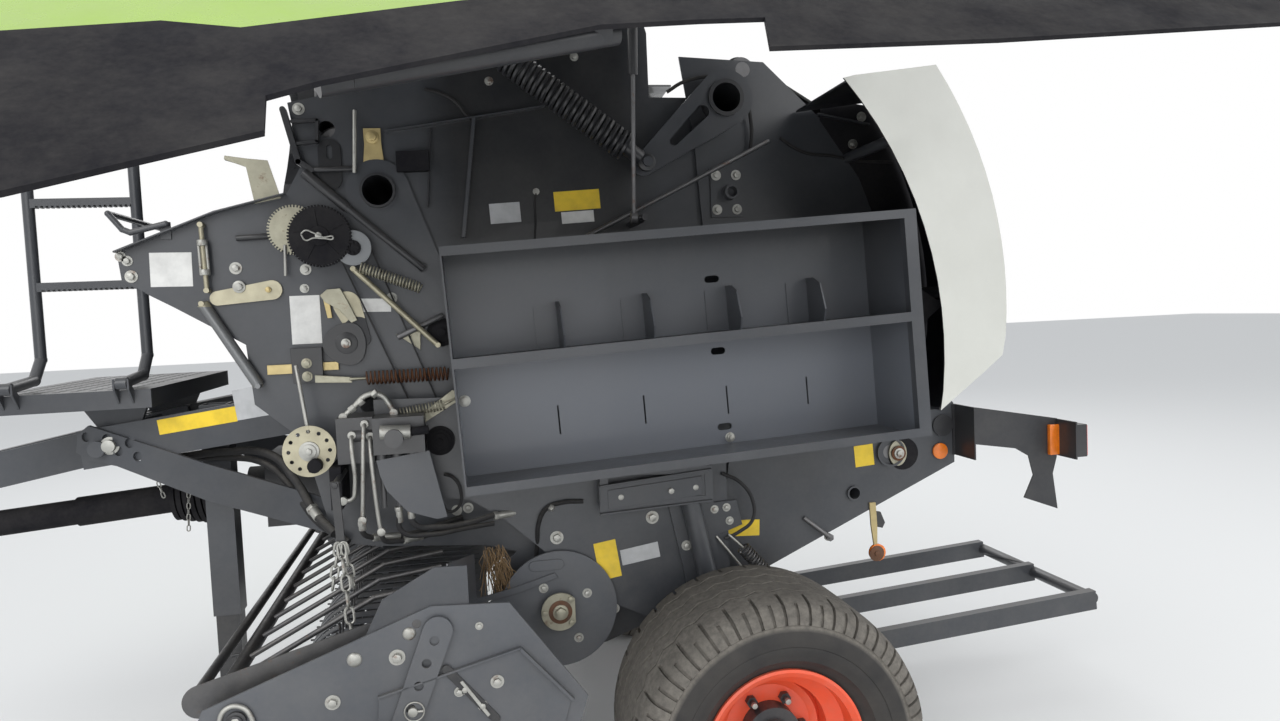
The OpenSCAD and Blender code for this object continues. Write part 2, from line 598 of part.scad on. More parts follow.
// Valve block with its pipes
module valve_block() {
    color(coal) {
        translate([-1105, -frame_y - 130, 1285]) cube([150, 130, 110]);
        pin([-1040, 1340], frame_y + 130, frame_y + 200, 54);
        rod([-1105, -frame_y - 65, 1340], [-1170, -frame_y - 65, 1340], 44);
    }
    color(steel) for (i = [0:2]) {
        x = -1085 + 45 * i;
        rod([x, -frame_y - 100, 1285], [x, -frame_y - 100, 1120], 16);
        rod([x, -frame_y - 100, 1290], [x, -frame_y - 100, 1262], 30);
    }
}

// Rollers and belts. A roller is [x, z, radius]
front_set = [[-1180, 2235, 60], [-440, 2400, 60], [-215, 880, 90], [-760, 1230, 90]];
gate_set = [[150, 2480, 45], [560, 2215, 60], [690, 1560, 45], [649, 1138, 60]];
module rollers(set, body, shaft) for (s = set) {
    rod([s[0], -body, s[1]], [s[0], body, s[1]], 2 * s[2]);
    rod([s[0], -shaft, s[1]], [s[0], shaft, s[1]], 50);
}
module belt_line(set, extra) {
    n = len(set);
    for (i = [0:n - 1]) {
        p = set[i];
        q = set[(i + 1) % n];
        link([p[0], p[1]], [q[0], q[1]], p[2] + extra, q[2] + extra);
    }
    polygon([for (s = set) [s[0], s[1]]]);
}
belt_gap = 36;
belt_side = 20;
belt_w = (chamber_w - 2 * belt_side - (belt_n - 1) * belt_gap) / belt_n;
module belts(set) for (i = [0:belt_n - 1])
    translate([0, -wall_y + belt_side + i * (belt_w + belt_gap) + belt_w, 0]) rotate([90, 0, 0])
        linear_extrude(belt_w) difference() {
            belt_line(set, fit + belt_t);
            belt_line(set, fit);
        }
module front_rollers() color(steel) rollers(front_set, wall_y - 6, wall_y);
module front_belts() color(rubber) belts(front_set);

// Feed rotor with its stars of teeth
star_n = 9;
module feed_rotor() color(steel) {
    rod([rotor[0], -wall_y + 8, rotor[1]], [rotor[0], wall_y - 8, rotor[1]], 150);
    rod([rotor[0], -arm_y - 34, rotor[1]], [rotor[0], arm_y + 34, rotor[1]], 60);
    for (i = [0:star_n - 1]) translate([rotor[0], (i - (star_n - 1) / 2) * 124 + 6, rotor[1]])
        rotate([90, 20 * i, 0]) linear_extrude(12) for (k = [0:3]) rotate(90 * k)
            polygon([[0, 60], [120, 60], [196, 20], [198, 6], [110, -20], [0, -60]]);
}

// Tailgate
gate_bar = [[520, 1900], [855, 1150]];
module tailgate_frame() color(dark) {
    both_sides() {
        left_plate(gate_y, wall_t) difference() {
            union() {
                polygon([[-71, 2520], [223, 2505], [469, 2272], [640, 2050], [745, 1800], [770, 1560], [800, 1420], [902, 1298],
                    [901, 1083], [195, 774], [20, 700], [-10, 780], [60, 1200], [110, 1700], [-10, 1960], [-30, 2250]]);
                translate(pivot) circle(r = 112);
            }
            translate(pivot) circle(d = pivot_d + 2 * fit);
            translate([506, 1001]) circle(r = 26);
            for (s = gate_set) translate([s[0], s[1]]) circle(r = 25 + fit);
        }
        // boss that faces the eye of the cylinder rod
        pin(cyl_top, gate_out, cyl_y - 26, 56);
        // bolted plate with a stub tube
        left_plate(gate_out, 8) polygon([[20, 1985], [130, 1985], [130, 2150], [20, 2150]]);
        pin([85, 2066], gate_out + 8, gate_out + 44, 50, 34);
        // rim around the roller bearing
        pin([649, 1138], gate_out, gate_out + 14, 104, 88);
        // tubes that carry the side cover
        for (p = cover_posts) pin(p, gate_out, cover_y, 36);
    }
    for (p = gate_bar) translate([p[0] - 40, -gate_y, p[1] - 40]) difference() {
        cube([80, 2 * gate_y, 80]);
        translate([6, -1, 6]) cube([68, 2 * gate_y + 2, 68]);
    }
    rod([506, -gate_out - 10, 1001], [506, gate_out + 10, 1001], 52, 40);
}
module tailgate_rollers() color(steel) rollers(gate_set, gate_y - 6, gate_out);
module tailgate_belts() color(rubber) belts(gate_set);

// Moulded side covers of the tailgate
cover_y = 1100;
cover_t = 6;
cover_posts = [[520, 2180], [690, 1700]];
function cover_rear(d) = bow([590 - d, 2371 - d], [762 - d, 2000], [802 - d, 1560], 12);
module tailgate_cover() color(pale) {
    left_plate(cover_y, cover_t) polygon(concat([[330, 2339]], cover_rear(0), [[790, 1500], [733, 1455], [580, 1342]],
        bow([590, 1400], [574, 1765], [297, 2331], 12)));
    left_plate(gate_out + 16, cover_y - gate_out - 16) polygon(concat([[330, 2339]], cover_rear(0), [[790, 1500], [733, 1455],
        [580, 1342], [580, 1349], [730, 1463], [784, 1505]], [for (i = [12:-1:0]) cover_rear(cover_t)[i]], [[330, 2333]]));
}

// Lamp brackets behind the tailgate, with the lamp housings
lamp_y = frame_y + 60;
module lamp_brackets() color(coal) both_sides() {
    translate([902, -lamp_y - 5, 1110]) cube([5, lamp_y + 5 - gate_out, 185]);
    translate([894, -gate_out - 6, 1110]) cube([8, 6, 185]);
    left_plate(lamp_y, 5) polygon([[907, 1295], [1225, 1236], [1222, 1100], [1205, 1040], [1222, 912], [1090, 962], [1128, 1040],
        [1110, 1110], [1060, 1140], [907, 1165]]);
    translate([1220, -lamp_y - 112, 1105]) cube([5, 112, 130]);
    translate([1225, -lamp_y - 106, 1112]) cube([42, 98, 112]);
    pin([855, 1220], gate_out, gate_out + 8, 78);
}

// Tailgate cylinders, opened at the rod's eye
cyl_top = [400, 1720];
cyl_dir = (cyl_top - cyl_low) / norm(cyl_top - cyl_low);
barrel_l = 785;
module along_cylinder(from, to, d, bore = 0) {
    p = cyl_low + cyl_dir * from;
    q = cyl_low + cyl_dir * to;
    rod([p[0], -cyl_y, p[1]], [q[0], -cyl_y, q[1]], d, bore);
}
module cylinder_barrel() color(dark) difference() {
    union() {
        along_cylinder(0, barrel_l, 60);
        along_cylinder(barrel_l - 40, barrel_l, 68);
        pin(cyl_low, cyl_y - 20, cyl_y + 20, 60);
    }
    along_cylinder(34, barrel_l + 1, 36);
    pin(cyl_low, cyl_y - 31, cyl_y + 31, 30 + 2 * fit);
}
module cylinder_rod() color(steel) {
    along_cylinder(40, norm(cyl_top - cyl_low) - 24, 35);
    difference() {
        pin(cyl_top, cyl_y - 20, cyl_y + 20, 60);
        pin(cyl_top, cyl_y - 21, cyl_y + 21, 30);
    }
}

// Hoods, drawn closed on the left side and swung about their hinge bar where open
hinge_y = 600;
hinge_z = 2690;
hinge_x = [-1390, -150];
hinge_lug_x = [-1275, -265];
knuckle_x = [-1355, -700, -235];
hood_y = 1200;
shoulder = 500;
function hood_line(in, low, top_y) = concat([[-top_y, hinge_z + 34 - in]],
    arc([-hood_y + shoulder, hinge_z + 34 - shoulder], shoulder - in, 90, 180, 10), [[-hood_y + in, low]]);
module hood_section(out, in, low, top_y)
    polygon(concat(hood_line(out, low, top_y), [for (i = [12:-1:0]) hood_line(in, low, top_y)[i]]));
module hood_shape() polygon(concat([[190, 2800], [190, 2345], [300, 2330]], bow([420, 2180], [590, 1765], [615, 1430], 8),
    [[600, 1345], [-430, 1290], [-800, 1180], [-1105, 1067], [-1212, 1086], [-1399, 1045], [-1655, 1010]],
    bow([-1655, 1010], [-1740, 1900], [-1500, 2800], 8)));
module skirt_shape() polygon([[-1655, 1010], [-1399, 1045], [-1212, 1086], [-1105, 1067], [-800, 1180], [-430, 1290],
    [600, 1345], [980, 1400], [1010, 1215], [688, 1162], [69, 1071], [-340, 1028], [-317, 1138], [-428, 1125], [-593, 1098],
    [-778, 1008], [-987, 906], [-1049, 865], [-1041, 777], [-1172, 711], [-1283, 654], [-1420, 600], [-1580, 760]]);
module hood_sheet() intersection() {
    across(-1800, 2900) hood_section(0, hood_t, 500, hinge_y - 25);
    left_plate(500, 800) children();
}
module swung_open(angle) translate([0, -hinge_y, hinge_z]) rotate([-angle, 0, 0]) translate([0, hinge_y, -hinge_z])
    children();
rib_x = [-1340, -330, 60];
arm_off = 38;
module hood_frame() color(coal) {
    for (x = knuckle_x) rod([x, -hinge_y, hinge_z], [x + 60, -hinge_y, hinge_z], 40, 24 + 2 * fit);
    for (x = rib_x) across(x, 28) hood_section(hood_t, hood_t + 36, 1280, hinge_y + arm_off - 6);
    // bars from the knuckles to the ribs
    rod([knuckle_x[0] - 5, -hinge_y - arm_off, hinge_z], [rib_x[2] + 14, -hinge_y - arm_off, hinge_z], 26);
    for (x = knuckle_x) translate([x + 10, -hinge_y - arm_off, hinge_z - 9]) cube([40, arm_off - 14, 18]);
    // tube along the lower lip
    rod([rib_x[0] + 14, -hood_y + 36, 1300], [rib_x[2] + 14, -hood_y + 36, 1300], 36);
    rod([-1000, -hood_y + 30, 960], [-560, -hood_y + 30, 1140], 40);
    for (x = [-980, -600]) translate([x, -hood_y + hood_t, 950 + (x + 980) * 0.42]) cube([30, 24, 340 - (x + 980) * 0.42]);
    // ear of the gas strut
    across(rib_x[1] + 4, 12)
        polygon([[-strut_head[0] - 26, strut_head[1] - 10], [-strut_head[0] + 26, strut_head[1] - 26],
            [-strut_head[0] + 40, strut_head[1] + 180], [-strut_head[0] - 40, strut_head[1] + 160]]);
    rod([rib_x[1] + 6, -strut_head[0], strut_head[1]], [strut_x + 13, -strut_head[0], strut_head[1]], 16);
}

// Gas struts. Places are [distance from the middle, height] with the hood closed
strut_x = -290;
strut_foot = [850, 1968];
strut_head = [950, hinge_z - 240];
hinge = [hinge_y, hinge_z];
function swing(p, a) = hinge + [(p - hinge)[0] * cos(a) - (p - hinge)[1] * sin(a), (p - hinge)[0] * sin(a) + (p - hinge)[1] * cos(a)];
gas_barrel_l = 430;
gas_rod_l = 450;
function at(p) = [strut_x, -p[0], p[1]];
module strut_part(a, barrel) {
    h = swing(strut_head, a);
    e = (strut_foot - h) / norm(strut_foot - h);
    if (barrel) color(coal) difference() {
        union() {
            rod(at(h), at(h + e * gas_barrel_l), 28);
            rod([strut_x - 9, -h[0], h[1]], [strut_x + 9, -h[0], h[1]], 36);
        }
        rod(at(h + e * 30), at(h + e * (gas_barrel_l + 1)), 15);
        rod([strut_x - 15, -h[0], h[1]], [strut_x + 15, -h[0], h[1]], 16 + 2 * fit);
    }
    if (!barrel) color(steel) difference() {
        union() {
            rod(at(strut_foot), at(strut_foot - e * gas_rod_l), 13);
            rod([strut_x - 9, -strut_foot[0], strut_foot[1]], [strut_x + 9, -strut_foot[0], strut_foot[1]], 34);
        }
        rod([strut_x - 10, -strut_foot[0], strut_foot[1]], [strut_x + 10, -strut_foot[0], strut_foot[1]], 16);
    }
}

// Pickup. Places with the pickup raised
reel = [-1190, 560];
strip_r = 190;
band_w = 44;
bar_top = [-830, 690];
tube_low = [-930, 350];
gauge_at = [-1110, 400];
guide_a = [-935, -pickup_half + 8];
guide_b = [-830, -arm_y - 8];
module strip_line(r) {
    translate(reel) circle(r = r);
    translate(reel) square([bar_top[0] + 20 - reel[0], r]);
    translate([reel[0], reel[1] - r]) square([tube_low[0] - reel[0], r]);
}
module pickup_frame() color(dark) {
    both_sides() {
        left_plate(pickup_half - 8, 8) difference() {
            polygon([[-1575, 625], [-1545, 690], [-951, 906], [-739, 894], [-532, 605], [-560, 520], [-800, 330], [-1000, 280],
                [-1290, 300], [-1440, 420]]);
            translate(reel) circle(r = 20 + fit);
            translate(guard_pin) circle(r = 12 + fit);
        }
        // arm that turns about the rotor shaft
        left_plate(arm_y, 8) difference() {
            union() {
                translate(rotor) circle(r = 190);
                link(rotor, [-850, 640], 150, 80);
            }
            translate(rotor) circle(r = 30 + fit);
        }
        // guide plate for the crop
        slanted(guide_a, guide_b, 5)
            polygon([[0, 756], [norm(guide_b - guide_a), 756], [norm(guide_b - guide_a), 930], [120, 985]]);
        // arm of the gauge wheel with its row of holes
        left_plate(pickup_half + 8, 8) difference() {
            link([-935, 840], gauge_at, 40, 36);
            for (i = [0:4]) translate([-945 - 24 * i, 815 - 60 * i]) circle(r = 13);
        }
        pin([-940, 826], pickup_half, pickup_half + 8, 60);
        pin(gauge_at, pickup_half + 16, pickup_half + 170, 30);
    }
    // cross bars behind the reel
    translate([bar_top[0], -pickup_half + 8, bar_top[1]]) cube([40, 2 * pickup_half - 16, 58]);
    rod([tube_low[0], -pickup_half + 8, tube_low[1]], [tube_low[0], pickup_half - 8, tube_low[1]], 50);
    // stripper bands between the tines
    n = floor((2 * pickup_half - 120) / tine_pitch);
    for (i = [0:n]) translate([0, (i - n / 2) * tine_pitch + band_w / 2, 0]) rotate([90, 0, 0]) linear_extrude(band_w)
        difference() {
            strip_line(strip_r);
            strip_line(strip_r - 3);
        }
}
module pickup_reel() color(coal) {
    n = floor((2 * pickup_half - 120) / tine_pitch);
    rod([reel[0], -pickup_half + 1, reel[1]], [reel[0], pickup_half - 1, reel[1]], 40);
    for (y = [-905, 5, 895]) translate([reel[0], y + 5, reel[1]]) rotate([90, 0, 0]) linear_extrude(10) {
        circle(r = 60);
        for (k = [0:tine_bars - 1]) rotate(360 * k / tine_bars + 20) {
            translate([0, -17]) square([120, 34]);
            translate([120, 0]) circle(r = 26);
        }
    }
    for (k = [0:tine_bars - 1]) {
        a = 360 * k / tine_bars + 20;
        c = reel + 120 * [cos(a), sin(a)];
        rod([c[0], -pickup_half + 30, c[1]], [c[0], pickup_half - 30, c[1]], 32);
        for (i = [0:n - 1]) {
            y = (i + 0.5 - n / 2) * tine_pitch;
            rod([c[0], y, c[1]], [reel[0] + tine_r * cos(a - 12), y, reel[1] + tine_r * sin(a - 12)], 7);
        }
    }
}

// Wind guard in front of the reel
guard_pin = [-990, 862];
guard_front = [-1530, 672];
module wind_guard() color(steel) {
    rod([guard_front[0], -1040, guard_front[1]], [guard_front[0], 1040, guard_front[1]], 45);
    rod([guard_front[0] - 50, -1040, guard_front[1] + 30], [guard_front[0] - 50, 1040, guard_front[1] + 30], 30);
    both_sides() {
        left_plate(1040, 8) difference() {
            union() {
                link([guard_front[0] - 40, guard_front[1] + 15], guard_pin, 44, 26);
            }
            translate(guard_pin) circle(r = 12 + fit);
        }
        pin(guard_pin, 1040, pickup_half - 1, 24);
    }
    for (i = [0:10]) {
        y = -900 + 180 * i;
        rod([guard_front[0], y, guard_front[1]], [-1120, y, 880], 16);
        translate([-1120, y, 880]) sphere(d = 17);
        rod([-1120, y, 880], [-930, y, 905], 16);
    }
}
module gauge_wheel() color(rubber) {
    r = gauge_d / 2;
    translate([gauge_at[0], -pickup_half - 20, gauge_at[1]]) rotate([90, 0, 0]) difference() {
        rotate_extrude() polygon([[15 + fit, 20], [70, 20], [95, 40], [110, 8], [r - 30, 0], [r - 8, 16], [r, 50], [r, 90],
            [r - 8, 124], [r - 30, 140], [110, 132], [95, 100], [70, 120], [15 + fit, 120]]);
    }
}

// Bale ramp
ramp_end = [1632, 430];
module bale_ramp() color(dark) {
    for (y = ramp_y) beam([ramp_pin[0], y, ramp_pin[1]], [ramp_end[0], y, ramp_end[1]], ramp_w, 76, 4);
    for (y = ramp_y) rod([ramp_pin[0], y - ramp_w / 2 - 14, ramp_pin[1]], [ramp_pin[0], y + ramp_w / 2 + 14, ramp_pin[1]], 20);
    rod([ramp_end[0], ramp_y[0], ramp_end[1]], [ramp_end[0], ramp_y[2], ramp_end[1]], 48);
    rod([560, ramp_y[0], 358], [560, ramp_y[2], 358], 40);
}

// The nodes
translate(to_eye) {
    chassis_frame();
    axle_beam();
    drawbar();
    hitch_head();
    jack_tube();
    jack_leg();
    platform();
    ladder();
    gearbox();
    drive_shaft();
    chamber_wall();  // chamber_wall_left
    mirror([0, 1, 0]) chamber_wall();  // chamber_wall_right
    chamber_crossmembers();
    wrap_frame();
    wrap_drive();
    tension_arms();
    tension_spring();
    storage_box();
    valve_block();
    front_rollers();
    front_belts();
    feed_rotor();
    wheel_hub();  // wheel_hub_left
    mirror([0, 1, 0]) wheel_hub();  // wheel_hub_right
    wheel_rim();  // wheel_rim_left
    mirror([0, 1, 0]) wheel_rim();  // wheel_rim_right
    tyre();  // tyre_left
    mirror([0, 1, 0]) tyre();  // tyre_right
    tailgate_frame();
    tailgate_rollers();
    tailgate_belts();
    tailgate_cover();  // tailgate_cover_left
    mirror([0, 1, 0]) tailgate_cover();  // tailgate_cover_right
    lamp_brackets();
    cylinder_barrel();  // cylinder_barrel_left
    mirror([0, 1, 0]) cylinder_barrel();  // cylinder_barrel_right
    cylinder_rod();  // cylinder_rod_left
    mirror([0, 1, 0]) cylinder_rod();  // cylinder_rod_right
    swung_open(hood_open) color(green) hood_sheet() hood_shape();  // hood_left
    swung_open(hood_open) color(coal) hood_sheet() skirt_shape();  // skirt_left
    swung_open(hood_open) hood_frame();  // hood_frame_left
    mirror([0, 1, 0]) color(green) hood_sheet() hood_shape();  // hood_right
    mirror([0, 1, 0]) color(coal) hood_sheet() skirt_shape();  // skirt_right
    mirror([0, 1, 0]) hood_frame();  // hood_frame_right
    strut_part(hood_open, true);  // strut_barrel_left
    strut_part(hood_open, false);  // strut_rod_left
    mirror([0, 1, 0]) strut_part(0, true);  // strut_barrel_right
    mirror([0, 1, 0]) strut_part(0, false);  // strut_rod_right
    pickup_frame();
    pickup_reel();
    wind_guard();
    gauge_wheel();  // gauge_wheel_left
    mirror([0, 1, 0]) gauge_wheel();  // gauge_wheel_right
    bale_ramp();
}
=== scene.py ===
import math
import random

import bpy
from bpy.props import FloatProperty, FloatVectorProperty, IntProperty, PointerProperty
from mathutils import Matrix, Vector


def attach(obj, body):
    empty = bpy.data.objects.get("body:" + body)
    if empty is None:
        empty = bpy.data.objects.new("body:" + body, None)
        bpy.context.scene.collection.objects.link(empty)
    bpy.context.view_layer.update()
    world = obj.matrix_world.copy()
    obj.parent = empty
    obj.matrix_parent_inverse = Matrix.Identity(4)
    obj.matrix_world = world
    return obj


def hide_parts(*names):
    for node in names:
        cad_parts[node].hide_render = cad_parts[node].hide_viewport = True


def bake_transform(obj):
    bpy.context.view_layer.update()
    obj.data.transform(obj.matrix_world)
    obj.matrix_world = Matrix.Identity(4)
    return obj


bl_info = {
    "name": "Round baler",
    "version": (1, 0, 0),
    "blender": (4, 5, 0),
    "location": "3D View > Sidebar > Round baler",
    "description": "Dresses the CAD model of a round baler with finishes, treads, fasteners and small parts",
    "category": "Object",
}

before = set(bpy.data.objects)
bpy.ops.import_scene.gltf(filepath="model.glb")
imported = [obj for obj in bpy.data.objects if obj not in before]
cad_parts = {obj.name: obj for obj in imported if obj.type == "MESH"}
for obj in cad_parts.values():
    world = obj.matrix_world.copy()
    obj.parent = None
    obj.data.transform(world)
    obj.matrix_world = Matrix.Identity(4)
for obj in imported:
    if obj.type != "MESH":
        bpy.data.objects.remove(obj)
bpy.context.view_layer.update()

# The machine frame has x to the rear of the axle, y to the right and z up from the ground, in millimetres.
# The row frame has its origin at the towing eye, in metres.
EYE = Vector((3120.0, 0.0, -1090.0))
GROUND = -1.09
# Distances from the middle plane to the outer faces of the walls and plates, in millimetres
WALL = 608
CHASSIS = 692
GATE = 624
PICKUP = 1118
# Height of the main wheels' middle, and the radius at which their studs stand
AXLE_HEIGHT = 433
STUD_RING = 102.5
# Cross axes seen from the side, as x and z: the rotor, and the wrapping drive's gear and pulleys
ROTOR = (-565, 724)
GEAR = (-1245, 1955)
PULLEY = (-1148, 1916)
LOW_PULLEY = (-914, 1299)


def at(x, y, z):
    """A place of the machine frame in the row frame."""
    return (Vector((x, y, z)) + EYE) / 1000


def mm(value):
    """Millimetres as metres."""
    return value / 1000


def round_outline(x, z, wide, high, count):
    """Places on an ellipse of the machine frame, seen from the side."""
    angles = [math.tau * k / count for k in range(count)]
    return [(x + wide * math.cos(a), z + high * math.sin(a)) for a in angles]


class BalerSizes(bpy.types.PropertyGroup):
    """Sizes of what is added to the CAD model."""

    tread_depth: FloatProperty(
        name="Tread depth", description="Depth of the grooves of the main tyres",
        default=0.012, unit="LENGTH")
    tread_blocks: IntProperty(
        name="Tread blocks", description="Shoulder blocks round a main tyre", default=34, min=20, max=48)
    bolt_scale: FloatProperty(
        name="Bolt scale", description="Scale of the bolt heads", default=0.82, min=0.5, max=1.2)
    plate_thickness: FloatProperty(
        name="Plate thickness", description="Thickness of the blank plates", default=0.0012, unit="LENGTH")


class BalerColours(bpy.types.PropertyGroup):
    """Base colours of the finishes."""

    grey: FloatVectorProperty(
        name="Grey paint", description="Paint of the frame",
        subtype="COLOR", default=(0.036, 0.039, 0.045))
    black: FloatVectorProperty(
        name="Black paint", description="Paint of the dark parts",
        subtype="COLOR", default=(0.014, 0.015, 0.018))
    green: FloatVectorProperty(
        name="Green moulding", description="Colour of the hoods",
        subtype="COLOR", default=(0.25, 0.41, 0.025))
    white: FloatVectorProperty(
        name="White moulding", description="Colour of the rear covers",
        subtype="COLOR", default=(0.6, 0.605, 0.56))
    red: FloatVectorProperty(
        name="Rim paint", description="Colour of the wheel rims",
        subtype="COLOR", default=(0.62, 0.065, 0.018))
    dust: FloatVectorProperty(
        name="Dust", description="Colour of the dust", subtype="COLOR", default=(0.24, 0.225, 0.2))


def sizes():
    return bpy.context.scene.baler_sizes


def tint(key, gain=1.0, lift=0.0):
    """One of the base colours, made lighter or darker."""
    return tuple(c * gain + lift for c in getattr(bpy.context.scene.baler_colours, key))


class Finish:
    """Builds the node tree of one material, on Object coordinates."""

    def __init__(self, name, rough=0.5, metallic=0.0, coat=0.0, specular=0.5):
        self.mat = bpy.data.materials.new(name)
        self.mat.use_nodes = True
        self.tree = self.mat.node_tree
        self.shader = self.tree.nodes["Principled BSDF"]
        self.shader.inputs["Roughness"].default_value = rough
        self.shader.inputs["Metallic"].default_value = metallic
        self.shader.inputs["Coat Weight"].default_value = coat
        self.shader.inputs["Specular IOR Level"].default_value = specular
        self.coords = self.add("ShaderNodeTexCoord").outputs["Object"]

    def put(self, socket, value):
        """Links an input to another node's output, or sets its value."""
        if hasattr(value, "links"):
            self.tree.links.new(value, socket)
        else:
            socket.default_value = value

    def add(self, kind, inputs=None, **settings):
        """A new node with its settings and its inputs."""
        node = self.tree.nodes.new(kind)
        for key, value in settings.items():
            setattr(node, key, value)
        for key, value in (inputs or {}).items():
            self.put(node.inputs[key], value)
        return node

    def noise(self, scale, detail=4.0, rough=0.55, squash=(1, 1, 1)):
        place = self.add("ShaderNodeMapping", {"Scale": squash, "Vector": self.coords})
        inputs = {"Scale": scale, "Detail": detail, "Roughness": rough, "Vector": place.outputs["Vector"]}
        return self.add("ShaderNodeTexNoise", inputs).outputs["Fac"]

    def ramp(self, value, low, high, out_low=0.0, out_high=1.0):
        """A value stretched from one range to another, and held at its ends."""
        inputs = {"Value": value, "From Min": low, "From Max": high, "To Min": out_low, "To Max": out_high}
        return self.add("ShaderNodeMapRange", inputs).outputs["Result"]

    def math(self, kind, a, b):
        return self.add("ShaderNodeMath", {0: a, 1: b}, operation=kind).outputs[0]

    def mix(self, fac, a, b):
        """From colour a to colour b, by a factor."""
        a, b = (value if hasattr(value, "links") else (*value, 1) for value in (a, b))
        return self.add("ShaderNodeMix", {"Factor": fac, 6: a, 7: b}, data_type="RGBA").outputs[2]

    def mottled(self, colour, gain, lift, scale, detail, low=0.3, high=0.75, rough=0.55, squash=(1, 1, 1)):
        """A colour that drifts in patches to a lighter or darker tone of itself."""
        tone = tuple(c * gain + lift for c in colour)
        return self.mix(self.ramp(self.noise(scale, detail, rough, squash), low, high), colour, tone)

    def along(self, axis, vector=None):
        """One coordinate of a vector, or else of the place on the piece."""
        source = self.coords if vector is None else vector
        return self.add("ShaderNodeSeparateXYZ", {"Vector": source}).outputs[axis]

    def height(self):
        """Height above the ground in metres."""
        return self.math("SUBTRACT", self.along("Z"), GROUND)

    def upward(self):
        """1 on faces that look up, 0 on upright ones."""
        normal = self.add("ShaderNodeNewGeometry").outputs["Normal"]
        return self.ramp(self.along("Z", normal), 0.1, 0.95)

    def disc(self, x, z, radius, out=0.0, reach=9.0):
        """1 inside a round place seen from the side, from out to reach in metres off the middle plane."""
        soft_edge = 0.0006
        inside = self.ramp(self.disc_distance(x, z), mm(radius), mm(radius) + soft_edge, 1.0, 0.0)
        return self.math("MULTIPLY", inside, self.outboard(out, reach))

    def disc_distance(self, x, z):
        """Distance from a cross axis of the machine frame, in metres."""
        centre = at(x, 0, z)
        inputs = {"Scale": (1, 0, 1), "Location": (-centre.x, 0, -centre.z), "Vector": self.coords}
        place = self.add("ShaderNodeMapping", inputs).outputs["Vector"]
        return self.add("ShaderNodeVectorMath", {0: place}, operation="LENGTH").outputs["Value"]

    def outboard(self, out, reach=9.0):
        """1 where the distance from the middle plane lies between two values, in metres."""
        away = self.math("ABSOLUTE", self.along("Y"), 0.0)
        beyond = self.math("GREATER_THAN", away, out)
        return self.math("MULTIPLY", beyond, self.math("LESS_THAN", away, reach))

    def inner(self, x, z):
        """1 on the hollow side of a shell that bends round a cross axis of the machine frame."""
        away = self.add("ShaderNodeVectorMath", {0: self.coords, 1: at(x, 0, z)}, operation="SUBTRACT")
        inputs = {0: away.outputs["Vector"], 1: self.add("ShaderNodeTexCoord").outputs["Normal"]}
        turned = self.add("ShaderNodeVectorMath", inputs, operation="DOT_PRODUCT")
        return self.math("LESS_THAN", turned.outputs["Value"], 0.0)

    def bump(self, height, strength, distance):
        inputs = {"Strength": strength, "Distance": distance, "Height": height}
        self.put(self.shader.inputs["Normal"], self.add("ShaderNodeBump", inputs).outputs["Normal"])

    def colour(self, value):
        self.put(self.shader.inputs["Base Color"], value)

    def roughness(self, value):
        self.put(self.shader.inputs["Roughness"], value)


def dusty(finish, base, low, settle):
    """Dust that lies on upward faces and thickens towards the ground, in streaks and spots."""
    patch = finish.ramp(finish.noise(5.0, 8.0, 0.65), 0.38, 0.72)
    fine = finish.ramp(finish.noise(70.0, 6.0, 0.7), 0.35, 0.75)
    lying = finish.math("MULTIPLY", finish.upward(), settle)
    thick = finish.ramp(finish.height(), 0.1, 1.5, low, 0.06)
    amount = finish.math("ADD", lying, thick)
    spots = finish.math("MULTIPLY", finish.math("ADD", patch, finish.math("MULTIPLY", fine, 0.5)), amount)
    spots = finish.math("MINIMUM", spots, 0.85)
    return finish.mix(spots, base, tint("dust")), spots


def sprayed(finish, base, low, settle, rough):
    """Lays dust on a sprayed coat and gives it its gloss and a light orange peel."""
    base, spots = dusty(finish, base, low, settle)
    finish.colour(base)
    finish.roughness(finish.ramp(spots, 0.0, 0.8, rough, 0.85))
    finish.bump(finish.noise(260.0, 3.0), 0.12, 0.0006)
    return finish.mat


def wall_paint(name):
    """Paint of the side walls, dull, with painted shade that darkens the upper bay of the spring."""
    finish = Finish(name, 0.36, coat=0.06, specular=0.4)
    base = finish.mottled(tint("grey"), 1.5, 0.006, 2.2, 5.0)
    # Painted shade: inside the upper bay of the spring, the wall colour is mixed 80% of the way to near
    # black.
    place = finish.along("X")
    ahead = finish.ramp(place, 2.18, 2.30)
    behind = finish.ramp(place, 2.84, 2.98, 1.0, 0.0)
    above = finish.ramp(finish.height(), 1.86, 1.95)
    bay = finish.math("MULTIPLY", finish.math("MULTIPLY", ahead, behind), above)
    base = finish.mix(finish.math("MULTIPLY", bay, 0.8), base, (0.007, 0.0075, 0.009))
    return sprayed(finish, base, 0.14, 0.2, 0.34)


def box_paint(name):
    """Paint of the storage box, with painted light that makes the lower part of its back paler and painted
    shade that darkens its upper part.
    """
    finish = Finish(name, 0.34, coat=0.06, specular=0.42)
    # Painted light and shade: within 1.07 m of the middle plane, the grey is raised to 3.7 times below 1.5 m
    # and lowered to 0.62 times above 1.95 m.
    back = finish.mix(finish.ramp(finish.height(), 1.5, 1.95), tint("grey", 3.7), tint("grey", 0.62))
    inside = finish.math("SUBTRACT", 1.0, finish.outboard(1.07))
    base = finish.mix(inside, finish.mottled(tint("grey"), 1.45, 0.006, 2.2, 5.0), back)
    return sprayed(finish, base, 0.16, 0.22, 0.34)


